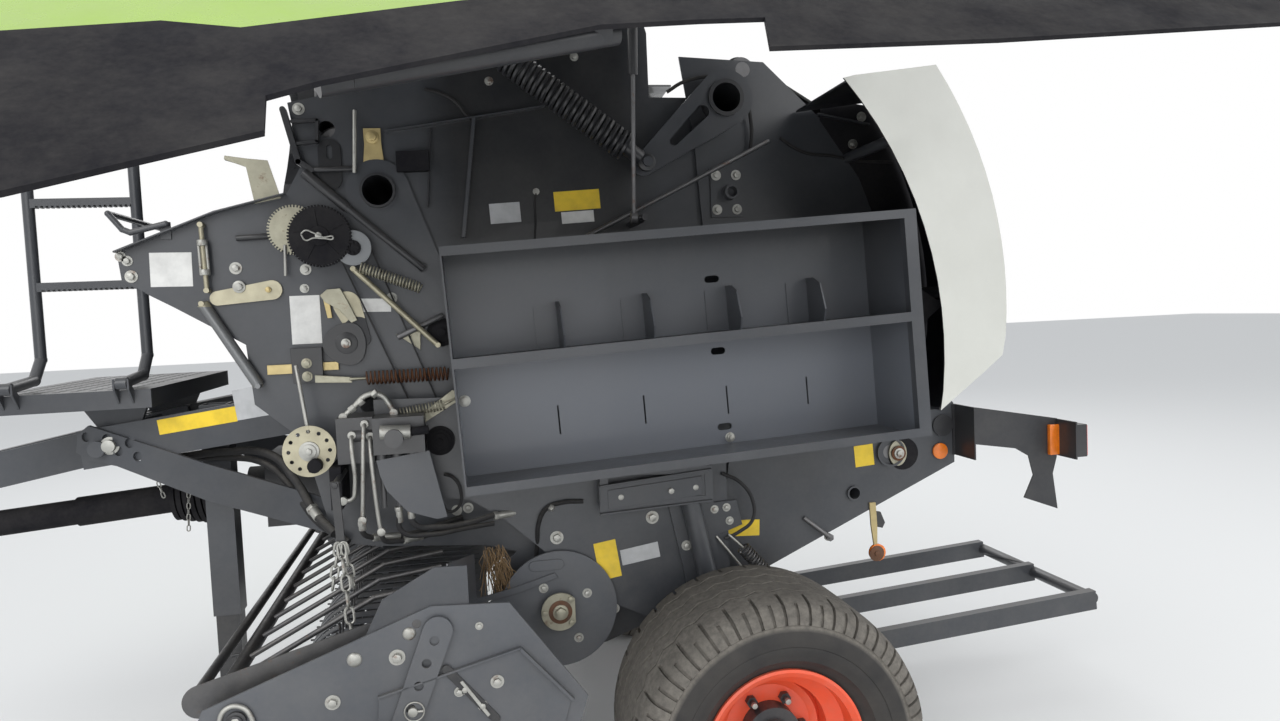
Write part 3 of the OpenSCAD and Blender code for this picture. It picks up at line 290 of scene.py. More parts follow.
def paint(name, colour, rough, low, settle, wear=0.0, coat=0.08):
    """Sprayed paint with dust and rubbed spots."""
    finish = Finish(name, rough, coat=coat, specular=0.42)
    finish.shader.inputs["Coat Roughness"].default_value = 0.25
    base = finish.mottled(colour, 1.45, 0.006, 2.2, 5.0)
    if wear:
        rubbed = finish.ramp(finish.noise(38.0, 9.0, 0.75, (1, 1, 2.5)), 0.68, 0.76, 0.0, wear)
        base = finish.mix(rubbed, base, (0.2, 0.19, 0.18))
    return sprayed(finish, base, low, settle, rough)


def moulding(name, colour, rough, coat, low, settle, hollow=None):
    """Moulded plastic with faint waviness and smears, dark on the hollow side of a shell."""
    finish = Finish(name, rough, coat=coat, specular=0.5 if coat > 0.1 else 0.03)
    finish.shader.inputs["Coat Roughness"].default_value = 0.08
    base = dusty(finish, finish.mottled(colour, 0.86, 0.0, 1.6, 4.0, 0.35, 0.7), low, settle)[0]
    if hollow:
        base = finish.mix(finish.inner(*hollow), base, (0.014, 0.0145, 0.017))
    finish.colour(base)
    finish.roughness(finish.ramp(finish.noise(9.0, 7.0, 0.65), 0.35, 0.7, rough, rough + 0.22))
    finish.bump(finish.noise(3.0, 2.0), 0.1, 0.004)
    return finish.mat


def metal(name, colour, rough, dull, rust=0.0):
    """Bare or plated metal with dull patches and rust."""
    finish = Finish(name, rough, metallic=0.85 - 0.3 * dull)
    base = finish.mottled(colour, 0.7, 0.0, 14.0, 6.0, rough=0.6)
    if rust:
        mask = finish.ramp(finish.noise(22.0, 9.0, 0.7), 0.62 - 0.35 * rust, 0.75 - 0.3 * rust)
        base = finish.mix(mask, base, (0.13, 0.052, 0.022))
    finish.colour(dusty(finish, base, 0.3, 0.25)[0])
    finish.roughness(finish.ramp(finish.noise(40.0, 6.0, 0.7), 0.3, 0.8, rough, rough + 0.28))
    finish.bump(finish.noise(180.0, 4.0, 0.6), 0.15, 0.0007)
    return finish.mat


def drive_metal(name):
    """Zinc of the wrapping drive, with its black gear, grey pulley and dark small parts."""
    finish = Finish(name, 0.4, metallic=0.6)
    dark = (0.02, 0.021, 0.024)
    patches = finish.ramp(finish.noise(14.0, 6.0), 0.3, 0.75)
    base = finish.mix(patches, (0.43, 0.4, 0.29), (0.27, 0.25, 0.18))
    base = finish.mix(finish.disc(*PULLEY, 57, 0.633, 0.643), base, (0.2, 0.21, 0.22))
    below_levers = finish.math("LESS_THAN", finish.height(), 1.75)
    lever_eye = finish.math("MULTIPLY", finish.disc(-1528, 1630, 168, 0.6175, 0.66), below_levers)
    base = finish.mix(lever_eye, base, (0.17, 0.175, 0.18))
    base = finish.mix(finish.disc(-1150, 1650, 50, 0.6, 0.66), base, dark)
    gear = finish.disc(*GEAR, 94, 0.633, 0.653)
    base = finish.mix(gear, base, (0.012, 0.012, 0.014))
    base = finish.mix(finish.math("GREATER_THAN", finish.height(), 2.09), base, dark)
    finish.colour(dusty(finish, base, 0.1, 0.15)[0])
    plated = finish.math("MULTIPLY", finish.math("SUBTRACT", 1.0, gear), 0.6)
    finish.put(finish.shader.inputs["Metallic"], plated)
    finish.bump(finish.noise(180.0, 4.0), 0.15, 0.0007)
    return finish.mat


def valve_finish(name):
    """Dark oily casting, a little paler on its outer face."""
    finish = Finish(name, 0.38)
    patches = finish.ramp(finish.noise(8.0, 6.0), 0.3, 0.7)
    base = finish.mix(patches, (0.03, 0.031, 0.034), (0.055, 0.056, 0.06))
    base = finish.mix(finish.outboard(0.823), base, (0.05, 0.051, 0.055))
    finish.colour(dusty(finish, base, 0.2, 0.2)[0])
    finish.bump(finish.noise(150.0, 4.0), 0.12, 0.0006)
    return finish.mat


def tread_rubber(name):
    """Tyre rubber, dusty on the tread, dark in the grooves and on the side."""
    finish = Finish(name, 0.8, specular=0.25)
    out = finish.disc_distance(0, 433)
    tread = finish.ramp(out, 0.352, 0.362)
    patch = finish.ramp(finish.noise(7.0, 8.0, 0.65), 0.25, 0.75)
    streak = finish.ramp(finish.noise(55.0, 6.0, 0.7), 0.3, 0.75)
    dust = finish.mix(patch, (0.13, 0.12, 0.105), (0.23, 0.212, 0.185))
    side = finish.mix(patch, (0.02, 0.02, 0.021), (0.05, 0.046, 0.042))
    worn = finish.mix(streak, dust, (0.085, 0.079, 0.072))
    sunk = finish.math("MULTIPLY", finish.ramp(out, 0.4265, 0.4300, 1.0, 0.0), finish.outboard(0.94, 1.17))
    worn = finish.mix(finish.math("MULTIPLY", sunk, 0.93), worn, (0.02, 0.019, 0.018))
    finish.colour(finish.mix(tread, side, worn))
    finish.roughness(finish.ramp(tread, 0.0, 1.0, 0.62, 0.95))
    finish.bump(finish.noise(140.0, 6.0, 0.75), 0.4, 0.0015)
    return finish.mat


def rubber(name, colour, dust, weave=False):
    """Dusty rubber; with weave, the cloth pattern pressed into a belt."""
    finish = Finish(name, 0.75, specular=0.3)
    finish.colour(dusty(finish, finish.mottled(colour, 2.2, 0.01, 3.5, 6.0), dust, 0.35)[0])
    if weave:
        threads = []
        for way in ("Y", "Z"):
            inputs = {"Scale": 60.0, "Distortion": 0.6, "Vector": finish.coords}
            threads.append(finish.add("ShaderNodeTexWave", inputs, bands_direction=way).outputs["Fac"])
        finish.bump(finish.math("MULTIPLY", *threads), 0.5, 0.0015)
    else:
        finish.bump(finish.noise(120.0, 6.0, 0.7), 0.35, 0.0015)
    return finish.mat


def plate(name, colour, rough=0.45):
    """Blank printed plate with faded, scuffed film."""
    finish = Finish(name, rough)
    base = finish.mottled(colour, 0.72, 0.0, 18.0, 7.0, 0.4, 0.8, 0.6)
    finish.colour(dusty(finish, base, 0.2, 0.1)[0])
    finish.bump(finish.noise(90.0, 3.0), 0.08, 0.0004)
    return finish.mat


def lens(name, colour):
    """Ribbed lamp or reflector plastic."""
    finish = Finish(name, 0.16, coat=0.4)
    finish.colour(finish.mottled(colour, 0.75, 0.0, 30.0, 4.0, 0.35, 0.7))
    ribs = finish.add("ShaderNodeTexWave", {"Scale": 90.0, "Vector": finish.coords}, bands_direction="Z")
    finish.bump(ribs.outputs["Fac"], 0.5, 0.001)
    return finish.mat


# How each finish is made, from its name
MAKERS = {
    "frame_grey": lambda name: paint(name, tint("grey"), 0.3, 0.14, 0.22, 0.3),
    "panel_grey": wall_paint,
    "box_paint": box_paint,
    "dark_paint": lambda name: paint(name, tint("black"), 0.34, 0.15, 0.18, 0.2),
    "pickup_grey": lambda name: paint(name, tint("grey", 1.5, 0.01), 0.36, 0.16, 0.25, 0.4),
    "tine_steel": lambda name: metal(name, (0.1, 0.1, 0.105), 0.36, 0.5, 0.06),
    "yellow_zinc": lambda name: metal(name, (0.56, 0.45, 0.22), 0.36, 0.4),
    "straw": lambda name: paint(name, (0.16, 0.1, 0.045), 0.8, 0.1, 0.1),
    "rim_paint": lambda name: paint(name, tint("red"), 0.34, 0.25, 0.15, 0.1, 0.3),
    "hood_moulding": lambda name: moulding(name, tint("green"), 0.2, 0.5, 0.12, 0.1, (-400, 1200)),
    "cover_moulding": lambda name: moulding(name, tint("white"), 0.3, 0.3, 0.2, 0.12, (300, 1700)),
    "dark_moulding": lambda name: moulding(name, (0.014, 0.014, 0.017), 0.5, 0.0, 0.06, 0.05),
    "tread_rubber": tread_rubber,
    "drive_metal": drive_metal,
    "valve_finish": valve_finish,
    "belt_rubber": lambda name: rubber(name, (0.02, 0.02, 0.02), 0.3, True),
    "gauge_rubber": lambda name: rubber(name, (0.02, 0.02, 0.02), 0.6),
    "hose_rubber": lambda name: rubber(name, (0.009, 0.009, 0.01), 0.04),
    "worn_steel": lambda name: metal(name, (0.17, 0.17, 0.175), 0.38, 0.6, 0.12),
    "chrome": lambda name: metal(name, (0.72, 0.72, 0.73), 0.1, 0.0),
    "zinc": lambda name: metal(name, (0.4, 0.385, 0.3), 0.38, 0.4, 0.1),
    "silver_zinc": lambda name: metal(name, (0.46, 0.46, 0.43), 0.38, 0.45, 0.12),
    "rusty_steel": lambda name: metal(name, (0.1, 0.07, 0.055), 0.6, 0.9, 0.9),
    "yellow_plate": lambda name: plate(name, (0.86, 0.6, 0.02)),
    "white_plate": lambda name: plate(name, (0.72, 0.72, 0.7)),
    "silver_plate": lambda name: plate(name, (0.48, 0.49, 0.5), 0.35),
    "orange_lens": lambda name: lens(name, (0.85, 0.2, 0.01)),
    "red_lens": lambda name: lens(name, (0.62, 0.02, 0.015)),
}


def material(name):
    """The finish of that name, made the first time it is asked for."""
    if name not in bpy.data.materials:
        MAKERS[name](name)
    return bpy.data.materials[name]


# The CAD nodes that each finish is for, by the start of their names
CAD_FINISH = {
    "frame_grey": ("chassis_frame", "axle_beam", "drawbar", "hitch_head", "jack_tube", "platform", "ladder",
                   "wrap_frame", "tension_arms", "tailgate_frame", "bale_ramp"),
    "dark_paint": ("jack_leg", "gearbox", "chamber_crossmembers", "tension_spring", "wheel_hub",
                   "lamp_brackets", "cylinder_barrel", "hood_frame", "strut_barrel"),
    "panel_grey": ("chamber_wall",),
    "box_paint": ("storage_box",),
    "pickup_grey": ("pickup_frame",),
    "tine_steel": ("pickup_reel", "wind_guard"),
    "worn_steel": ("front_rollers", "feed_rotor", "tailgate_rollers", "strut_rod"),
    "belt_rubber": ("front_belts", "tailgate_belts"),
    "dark_moulding": ("drive_shaft", "skirt"),
    "drive_metal": ("wrap_drive",),
    "valve_finish": ("valve_block",),
    "rim_paint": ("wheel_rim",),
    "tread_rubber": ("tyre",),
    "gauge_rubber": ("gauge_wheel",),
    "cover_moulding": ("tailgate_cover",),
    "hood_moulding": ("hood",),
    "chrome": ("cylinder_rod",),
}


def nothing_selected():
    """Leaves edit mode and deselects everything."""
    if bpy.context.object and bpy.context.object.mode != "OBJECT":
        bpy.ops.object.mode_set(mode="OBJECT")
    bpy.ops.object.select_all(action="DESELECT")


def select(*objects):
    nothing_selected()
    for obj in objects:
        obj.select_set(True)
    bpy.context.view_layer.objects.active = objects[0]


def settle(obj):
    """Puts the object's place, turn and scale into its mesh."""
    select(obj)
    bpy.ops.object.transform_apply(location=True, rotation=True, scale=True)
    return obj


def edit_all(obj):
    """Goes into edit mode with all of the piece selected."""
    select(obj)
    bpy.ops.object.mode_set(mode="EDIT")
    bpy.ops.mesh.select_all(action="SELECT")


def aim(direction):
    """Turn that takes +Z to a direction."""
    return Vector((0, 0, 1)).rotation_difference(Vector(direction)).to_euler()


def cylinder(a, b, radius, sides=24, bevel=0.0):
    """Round bar between two places of the row frame."""
    a, b = Vector(a), Vector(b)
    nothing_selected()
    bpy.ops.mesh.primitive_cylinder_add(
        vertices=sides, radius=radius, depth=(b - a).length, location=(a + b) / 2, rotation=aim(b - a))
    obj = settle(bpy.context.object)
    if bevel:
        rounded(obj, bevel)
    return obj


def boss(x, z, low, high, radius, sides=32, bevel=0.001):
    """Round or many-sided bar that stands out to the left, from one distance to another."""
    return cylinder(at(x, -low, z), at(x, -high, z), radius, sides, bevel)


def block(low, high, bevel=0.0):
    """Upright box between two corners of the row frame."""
    low, high = Vector(low), Vector(high)
    nothing_selected()
    bpy.ops.mesh.primitive_cube_add(size=1, location=(low + high) / 2, scale=[abs(v) for v in high - low])
    obj = settle(bpy.context.object)
    if bevel:
        rounded(obj, bevel)
    return obj


def rounded(obj, width, segments=2):
    """Bevels the sharp edges of a piece."""
    select(obj)
    mod = obj.modifiers.new("edge", "BEVEL")
    mod.width = width
    mod.segments = segments
    mod.limit_method = "ANGLE"
    bpy.ops.object.modifier_apply(modifier=mod.name)
    return obj


def joined(objects):
    """Several pieces as one mesh."""
    select(*objects)
    if len(objects) > 1:
        bpy.ops.object.join()
    return bpy.context.object


def mirrored(obj):
    """The same piece on the other side of the middle plane."""
    other = obj.copy()
    other.data = obj.data.copy()
    other.data.transform(Matrix.Scale(-1, 4, (0, 1, 0)))
    other.data.flip_normals()
    bpy.context.scene.collection.objects.link(other)
    return other


def drawn_line(points, closed=False):
    """Edges through places of the row frame, extruded point by point from a merged plane."""
    nothing_selected()
    bpy.ops.mesh.primitive_plane_add(size=0.01, location=points[0])
    obj = settle(bpy.context.object)
    bpy.ops.object.mode_set(mode="EDIT")
    bpy.ops.mesh.select_mode(type="VERT")
    bpy.ops.mesh.select_all(action="SELECT")
    bpy.ops.mesh.merge(type="CENTER")
    here = Vector(points[0])
    for point in points[1:]:
        bpy.ops.mesh.extrude_region_move(TRANSFORM_OT_translate={"value": Vector(point) - here})
        here = Vector(point)
    if closed:
        bpy.ops.mesh.extrude_region_move(TRANSFORM_OT_translate={"value": Vector(points[0]) - here})
        bpy.ops.mesh.select_all(action="SELECT")
        bpy.ops.mesh.remove_doubles(threshold=0.00005)
    bpy.ops.object.mode_set(mode="OBJECT")
    return obj


def cut_plate(outline, y, thick, bevel=0.0008):
    """Plate cut to an outline of [x, z] in the machine frame, its inner face at distance y on the left."""
    obj = drawn_line([at(x, -y, z) for x, z in outline], closed=True)
    edit_all(obj)
    bpy.ops.mesh.edge_face_add()
    bpy.ops.mesh.extrude_region_move(TRANSFORM_OT_translate={"value": (0, -mm(thick), 0)})
    bpy.ops.mesh.select_all(action="SELECT")
    bpy.ops.mesh.normals_make_consistent(inside=False)
    bpy.ops.object.mode_set(mode="OBJECT")
    return rounded(obj, bevel, 1)


def pick(obj, test, kind="VERT"):
    """Selects the vertices or faces whose place passes the test, and stays in edit mode."""
    select(obj)
    bpy.ops.object.mode_set(mode="EDIT")
    bpy.ops.mesh.select_mode(type=kind)
    bpy.ops.mesh.select_all(action="DESELECT")
    bpy.ops.object.mode_set(mode="OBJECT")
    if kind == "VERT":
        for vertex in obj.data.vertices:
            vertex.select = test(vertex.co)
    else:
        for face in obj.data.polygons:
            face.select = test(face.center)
    bpy.ops.object.mode_set(mode="EDIT")


def coil(a, b, radius, wire, turns, steps=12):
    """Coil spring between two places of the row frame."""
    a, b = Vector(a), Vector(b)
    axis = (b - a).normalized()
    side = axis.orthogonal().normalized()
    other = axis.cross(side)
    length = (b - a).length
    count = turns * steps
    points = []
    for i in range(count + 1):
        angle = math.tau * i / steps
        out = math.cos(angle) * side + math.sin(angle) * other
        points.append(a + axis * (length * i / count) + radius * out)
    return tube(points, wire, 6, smooth=False)


def chain(a, b, link, width, wire):
    """Welded chain between two places, each link turned a quarter against the last."""
    a, b = Vector(a), Vector(b)
    axis = (b - a).normalized()
    side = axis.cross(Vector((0, 1, 0))).normalized()
    count = max(2, round((b - a).length / (link - 2.3 * wire)))
    pitch = (b - a).length / count
    bend = width / 2 - wire
    half = link / 2 - wire - bend
    made = []
    for i in range(count):
        across = axis.cross(side) if i % 2 else side
        middle = a + axis * pitch * (i + 0.5)
        ring = []
        for k in range(14):
            angle = math.pi * (k % 7) / 6 + (math.pi if k > 6 else 0)
            along = (half if k < 7 else -half) + bend * math.sin(angle)
            ring.append(middle + axis * along + across * bend * math.cos(angle))
        made.append(tube(ring, wire, 6, closed=True, smooth=False))
    return joined(made)


def flat_bar(places, width, y, thick, bevel=0.0008):
    """Flat bar with round ends between two places of [x, z]."""
    a, b = Vector(places[0]), Vector(places[1])
    turn = math.atan2(b.y - a.y, b.x - a.x)
    outline = []
    for end, start in ((b, turn - math.pi / 2), (a, turn + math.pi / 2)):
        for k in range(7):
            angle = start + math.pi * k / 6
            outline.append((end.x + width / 2 * math.cos(angle), end.y + width / 2 * math.sin(angle)))
    return cut_plate(outline, y, thick, bevel)


def tube(points, radius, sides=8, closed=False, smooth=True):
    """Bent round bar through places of the row frame."""
    curve = bpy.data.curves.new("tube", "CURVE")
    curve.dimensions = "3D"
    curve.bevel_depth = radius
    curve.bevel_resolution = max(0, sides // 2 - 2)
    curve.use_fill_caps = True
    if smooth and len(points) > 2:
        line = curve.splines.new("BEZIER")
        line.bezier_points.add(len(points) - 1)
        for knot, point in zip(line.bezier_points, points):
            knot.co = point
            knot.handle_left_type = knot.handle_right_type = "AUTO"
        curve.resolution_u = 6
    else:
        line = curve.splines.new("POLY")
        line.points.add(len(points) - 1)
        for knot, point in zip(line.points, points):
            knot.co = (*point, 1)
    line.use_cyclic_u = closed
    obj = bpy.data.objects.new("tube", curve)
    bpy.context.scene.collection.objects.link(obj)
    select(obj)
    bpy.ops.object.convert(target="MESH")
    return bpy.context.object


def bent(places, radius, sides=12):
    """Bent bar or hose through places of the machine frame."""
    return tube([at(*place) for place in places], radius, sides)


def on_both_sides(left, name, body, finish, angle=35):
    """Finishes a piece of the left side and its mirrored copy; {} in a name stands for the side."""
    right = mirrored(left)
    for obj, side in ((left, "left"), (right, "right")):
        piece(obj, name.format(side), body.format(side), finish, angle)


def piece(obj, name, body, finish, angle=35):
    """Names a finished piece, smooths it, and gives it its material, slot and body."""
    obj.name = name
    obj.data.name = name
    select(obj)
    bpy.ops.object.shade_smooth_by_angle(angle=math.radians(angle))
    obj.data.materials.clear()
    obj.data.materials.append(material(finish))
    if body:
        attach(obj, body)
    return obj


class BALER_OT_stage(bpy.types.Operator):
    """Adds the floor, the soft light and the camera at the photograph's angle."""

    bl_idname = "baler.stage"
    bl_label = "Stage"

    # Lamps: name, place, target, width in metres, power in watts
    lamps = (
        ("key", (-2.5, -8.5, 6.5), (2.4, 0, 0.3), 7.0, 620),
        ("fill", (8.5, -6.5, 4.0), (2.8, 0, 0.2), 6.0, 260),
        ("low", (1.5, -7.0, 0.1), (2.2, 0, -0.3), 4.5, 110),
        ("back", (4.0, 8.0, 6.0), (2.6, 0, 0.4), 6.0, 260),
    )
    # Colour and strength of the light from all around, and of what the camera and reflections see of it
    skies = (((0.93, 0.96, 1.0), 0.75), ((1, 1, 1), 1.0))
    # Camera: place in the machine frame, yaw, pitch and roll in degrees, lens in millimetres
    eye = (-822, -3591, 1693)
    turns = (10.98, 3.40, -2.46)
    focal_length = 25.31

    def execute(self, context):
        scene = context.scene
        scene.view_settings.view_transform = "Standard"
        nothing_selected()
        bpy.ops.mesh.primitive_plane_add(size=80, location=(2.5, 0, GROUND))
        floor = settle(context.object)
        floor.name = "floor"
        mat = bpy.data.materials.new("pale_floor")
        mat.use_nodes = True
        shader = mat.node_tree.nodes["Principled BSDF"]
        shader.inputs["Base Color"].default_value = (0.78, 0.78, 0.77, 1)
        shader.inputs["Roughness"].default_value = 0.9
        shader.inputs["Specular IOR Level"].default_value = 0.1
        floor.data.materials.append(mat)
        self.world(scene)
        for name, place, target, size, power in self.lamps:
            lamp = bpy.data.lights.new(name, "AREA")
            lamp.size = size
            lamp.energy = power
            obj = bpy.data.objects.new(name, lamp)
            scene.collection.objects.link(obj)
            obj.location = place
            obj.rotation_euler = (Vector(target) - Vector(place)).to_track_quat("-Z", "Y").to_euler()
            obj.visible_camera = False
        self.camera(scene)
        return {"FINISHED"}

    def world(self, scene):
        """Soft light from all around, seen as plain white by the camera and in reflections."""
        world = bpy.data.worlds.new("studio")
        scene.world = world
        world.use_nodes = True
        nodes, links = world.node_tree.nodes, world.node_tree.links
        nodes.clear()
        mix = nodes.new("ShaderNodeMixShader")
        for index, (colour, strength) in enumerate(self.skies):
            sky = nodes.new("ShaderNodeBackground")
            sky.inputs["Color"].default_value = (*colour, 1)
            sky.inputs["Strength"].default_value = strength
            links.new(sky.outputs[0], mix.inputs[index + 1])
        path = nodes.new("ShaderNodeLightPath")
        seen = path.outputs["Is Camera Ray"]
        for ray in ("Is Glossy Ray", "Is Transmission Ray"):
            either = nodes.new("ShaderNodeMath")
            either.operation = "MAXIMUM"
            links.new(seen, either.inputs[0])
            links.new(path.outputs[ray], either.inputs[1])
            seen = either.outputs[0]
        links.new(seen, mix.inputs["Fac"])
        out = nodes.new("ShaderNodeOutputWorld")
        links.new(mix.outputs[0], out.inputs["Surface"])

    def camera(self, scene):
        """Camera at the place and angle from which the photograph was taken."""
        yaw, pitch, roll = (math.radians(v) for v in self.turns)
        ahead = Vector((math.sin(yaw) * math.cos(pitch), math.cos(yaw) * math.cos(pitch), -math.sin(pitch)))
        right = Vector((math.cos(yaw), -math.sin(yaw), 0))
        up = right.cross(ahead)
        side = math.cos(roll) * right + math.sin(roll) * up
        top = -math.sin(roll) * right + math.cos(roll) * up
        data = bpy.data.cameras.new("camera")
        data.sensor_width = 36
        data.lens = self.focal_length
        data.clip_end = 200
        camera = bpy.data.objects.new("camera", data)
        scene.collection.objects.link(camera)
        turn = Matrix((side, top, -ahead)).transposed()
        camera.matrix_world = Matrix.Translation(at(*self.eye)) @ turn.to_4x4()
        scene.camera = camera


class BALER_OT_finishes(bpy.types.Operator):
    """Gives every CAD node its material."""

    bl_idname = "baler.finishes"
    bl_label = "Finishes"

    def execute(self, context):
        finishes = {start: finish for finish, starts in CAD_FINISH.items() for start in starts}
        longest_first = sorted(finishes, key=len, reverse=True)
        for name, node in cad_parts.items():
            finish = next(finishes[start] for start in longest_first if name.startswith(start))
            if not node.material_slots:
                node.data.materials.append(None)
            for held in node.material_slots:
                held.material = material(finish)
        return {"FINISHED"}


class BALER_OT_tyres(bpy.types.Operator):
    """Main tyres with zigzag ribs, shoulder lugs and moulded side rings."""

    bl_idname = "baler.tyres"
    bl_label = "Tyres"

    # Sectors round the tyre for one shoulder block
    sectors = 8
    centre = at(0, -1055, AXLE_HEIGHT)
    # Grooves on one half of the tread: distance from the middle and radius there, in millimetres
    grooves = ((36, 433), (108, 432))
    # One half of the section, from the shoulder down the side and back inside: distance and radius
    side = [(132, 431), (166, 428), (194, 421), (208, 412), (217, 402), (226, 386), (231, 370), (228, 366),
            (232, 358), (238, 345), (240, 325), (239, 312), (236, 309), (237, 300), (232, 285), (226, 268),
            (223, 266), (216, 259), (209, 253), (200, 243), (193, 236), (184, 220), (156, 216), (206, 285),
            (203, 372), (168, 392)]
    # The part of the tread that swings from side to side: least radius, half width and swing, in metres
    crown = 0.4185
    crown_half = 0.1155
    swing = 0.010
    # Sunk faces of the shoulder: sector, from and to this far off the middle, depth, in metres
    sunk = ((0, 0.134, 0.229, 0.011), (4, 0.196, 0.229, 0.007))
    shoulder = 0.37

    def execute(self, context):
        left = self.carcass()
        self.zigzag(left)
        self.blocks(left)
        right = mirrored(left)
        for obj, side in ((left, "left"), (right, "right")):
            piece(obj, "treaded_tyre_" + side, "wheel_" + side, "tread_rubber", 32)
            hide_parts("tyre_" + side)
        return {"FINISHED"}

    def carcass(self):
        """Section of the tyre as a closed line, spun round the axle."""
        depth = sizes().tread_depth * 1000
        half = []
        for groove, top in self.grooves:
            floor = top - depth
            half += [(groove - 6, top), (groove - 3, floor), (groove + 3, floor), (groove + 6, top)]
        half += self.side
        line = half + [(-y, r) for y, r in reversed(half)]
        obj = drawn_line([self.centre + Vector((0, -mm(y), mm(r))) for y, r in line], closed=True)
        edit_all(obj)
        steps = sizes().tread_blocks * self.sectors
        bpy.ops.mesh.spin(steps=steps, angle=math.tau, center=self.centre, axis=(0, 1, 0))
        bpy.ops.mesh.select_all(action="SELECT")
        bpy.ops.mesh.remove_doubles(threshold=0.0002)
        bpy.ops.mesh.normals_make_consistent(inside=False)
        bpy.ops.object.mode_set(mode="OBJECT")
        return obj

    def sector(self, place, half=0.0):
        """Which sector of its block a place lies in."""
        turn = math.atan2(place.x - self.centre.x, place.z - self.centre.z) / math.tau
        return round(turn * sizes().tread_blocks * self.sectors - half) % self.sectors

    def radius(self, place):
        """Distance of a place from the axle."""
        return math.hypot(place.x - self.centre.x, place.z - self.centre.z)

    def zigzag(self, obj):
        """Shifts the grooves from side to side along the tread."""
        for k in range(self.sectors):
            shift = self.swing * (1 - abs(k - self.sectors / 2) / 2)
            if not shift:
                continue
            pick(obj, lambda v: self.radius(v) > self.crown and abs(v.y - self.centre.y) < self.crown_half
                 and self.sector(v) == k)
            bpy.ops.transform.translate(value=(0, shift, 0))
            bpy.ops.object.mode_set(mode="OBJECT")

    def blocks(self, obj):
        """Sinks the gaps between the shoulder blocks and the notch in each block."""
        for gap, low, high, depth in self.sunk:
            pick(obj, lambda c: low < abs(c.y - self.centre.y) < high and self.radius(c) > self.shoulder
                 and self.sector(c, 0.5) == gap, "FACE")
            bpy.ops.mesh.extrude_region_shrink_fatten(TRANSFORM_OT_shrink_fatten={"value": -depth})
            bpy.ops.object.mode_set(mode="OBJECT")


# Bolts on both sides: x, z, distance of the face from the middle, width across flats
BOLTS = {
    "base": [
        (-1827, 1912, WALL, 20), (-1809, 1898, WALL, 20), (-1801, 1851, WALL, 24),
        (-1503, 1866, WALL, 24), (-1298, 1855, WALL, 22), (-1305, 1796, WALL, 18),
        (-1042, 1756, WALL, 22), (-876, 1054, WALL, 22), (-839, 1059, WALL, 22),
        (-905, 1300, CHASSIS, 18), (-720, 1350, CHASSIS, 22), (-600, 1330, CHASSIS, 22),
        (-241, 994, CHASSIS, 28), (-561, 955, CHASSIS, 28), (-29, 1005, 702, 18), (13, 1008, 702, 18),
        (22, 962, 702, 18), (-380, 700, CHASSIS, 20), (-131, 892, 704, 22), (-189, 1092, 757, 22),
        (-700, 2440, WALL, 18), (-420, 2520, WALL, 18), (-1289, 2352, WALL, 24), (-566, 2084, 614, 14),
        (-960, 1180, CHASSIS, 20),
    ],
    "tailgate": [
        (40, 2010, 632, 22), (110, 2010, 632, 22), (40, 2125, 632, 22), (110, 2125, 632, 22),
        (574, 2320, 627, 22), (539, 2226, 627, 22), (404, 852, GATE, 18),
    ],
    "pickup": [
        (-1190, 560, PICKUP, 34), (-1046, 776, PICKUP, 28), (-824, 838, PICKUP, 14),
        (-783, 679, 1124, 24), (-887, 663, 1124, 18), (-872, 668, 1124, 18), (-826, 617, 1124, 18),
        (-1219, 673, PICKUP, 26), (-1462, 655, PICKUP, 30), (-1480, 560, PICKUP, 16),
        (-613, 797, 708, 20), (-472, 767, 708, 20), (-506, 622, 708, 20),
    ],
}
# Domed bolts: x, z, distance, diameter
DOMES = {
    "base": [(-354, 1084, 757, 26), (-105, 1096, 757, 26)],
    "pickup": [(-1157, 782, PICKUP, 40), (-1011, 837, PICKUP, 36), (-1290, 610, PICKUP, 22)],
}


def dome(x, z, y, width):
    """Low round head, cut flat where it sits on its plate."""
    seat = at(x, -y, z)
    nothing_selected()
    bpy.ops.mesh.primitive_uv_sphere_add(segments=24, ring_count=12, radius=mm(width / 2), location=seat)
    obj = settle(bpy.context.object)
    edit_all(obj)
    bpy.ops.mesh.bisect(plane_co=seat, plane_no=(0, 1, 0), use_fill=True, clear_outer=True)
    bpy.ops.mesh.select_all(action="SELECT")
    bpy.ops.transform.resize(value=(1, 0.45, 1), center_override=seat)
    bpy.ops.mesh.normals_make_consistent(inside=False)
    bpy.ops.object.mode_set(mode="OBJECT")
    return obj


def bolt(width):
    """Hexagon head with a washer, seated on the plane y = 0 and facing -Y."""
    w = mm(width) * sizes().bolt_scale
    washer_face = Vector((0, -0.0025, 0))
    washer = cylinder((0, 0, 0), washer_face, 0.95 * w, 24)
    head = cylinder(washer_face, washer_face - Vector((0, 0.55 * w, 0)), 0.58 * w, 6, 0.06 * w)
    return joined([head, washer])


class BALER_OT_bolts(bpy.types.Operator):
    """Bolt heads on the plates of both sides."""

    bl_idname = "baler.bolts"
    bl_label = "Bolts"

    def execute(self, context):
        spin = random.Random(4)
        for body, rows in BOLTS.items():
            made = []
            for x, z, y, width in rows:
                head = bolt(width)
                turn = Matrix.Rotation(spin.uniform(0, 1), 4, "Y")
                head.data.transform(Matrix.Translation(at(x, -y, z)) @ turn)
                made.append(head)
            for x, z, y, width in DOMES.get(body, ()):
                made.append(dome(x, z, y, width))
            on_both_sides(joined(made), "bolts_{}_" + body, body, "silver_zinc", 30)
        self.wheel_nuts()
        return {"FINISHED"}

    def wheel_nuts(self):
        """Cap and studs of the main wheels."""
        parts = [boss(0, AXLE_HEIGHT, 1168, 1176, 0.044, 32, 0.003)]
        for x, z in round_outline(0, AXLE_HEIGHT, STUD_RING, STUD_RING, 6):
            parts.append(boss(x, z, 1120, 1146, 0.0085, 16))
        on_both_sides(joined(parts), "wheel_studs_{}", "wheel_{}", "silver_zinc")


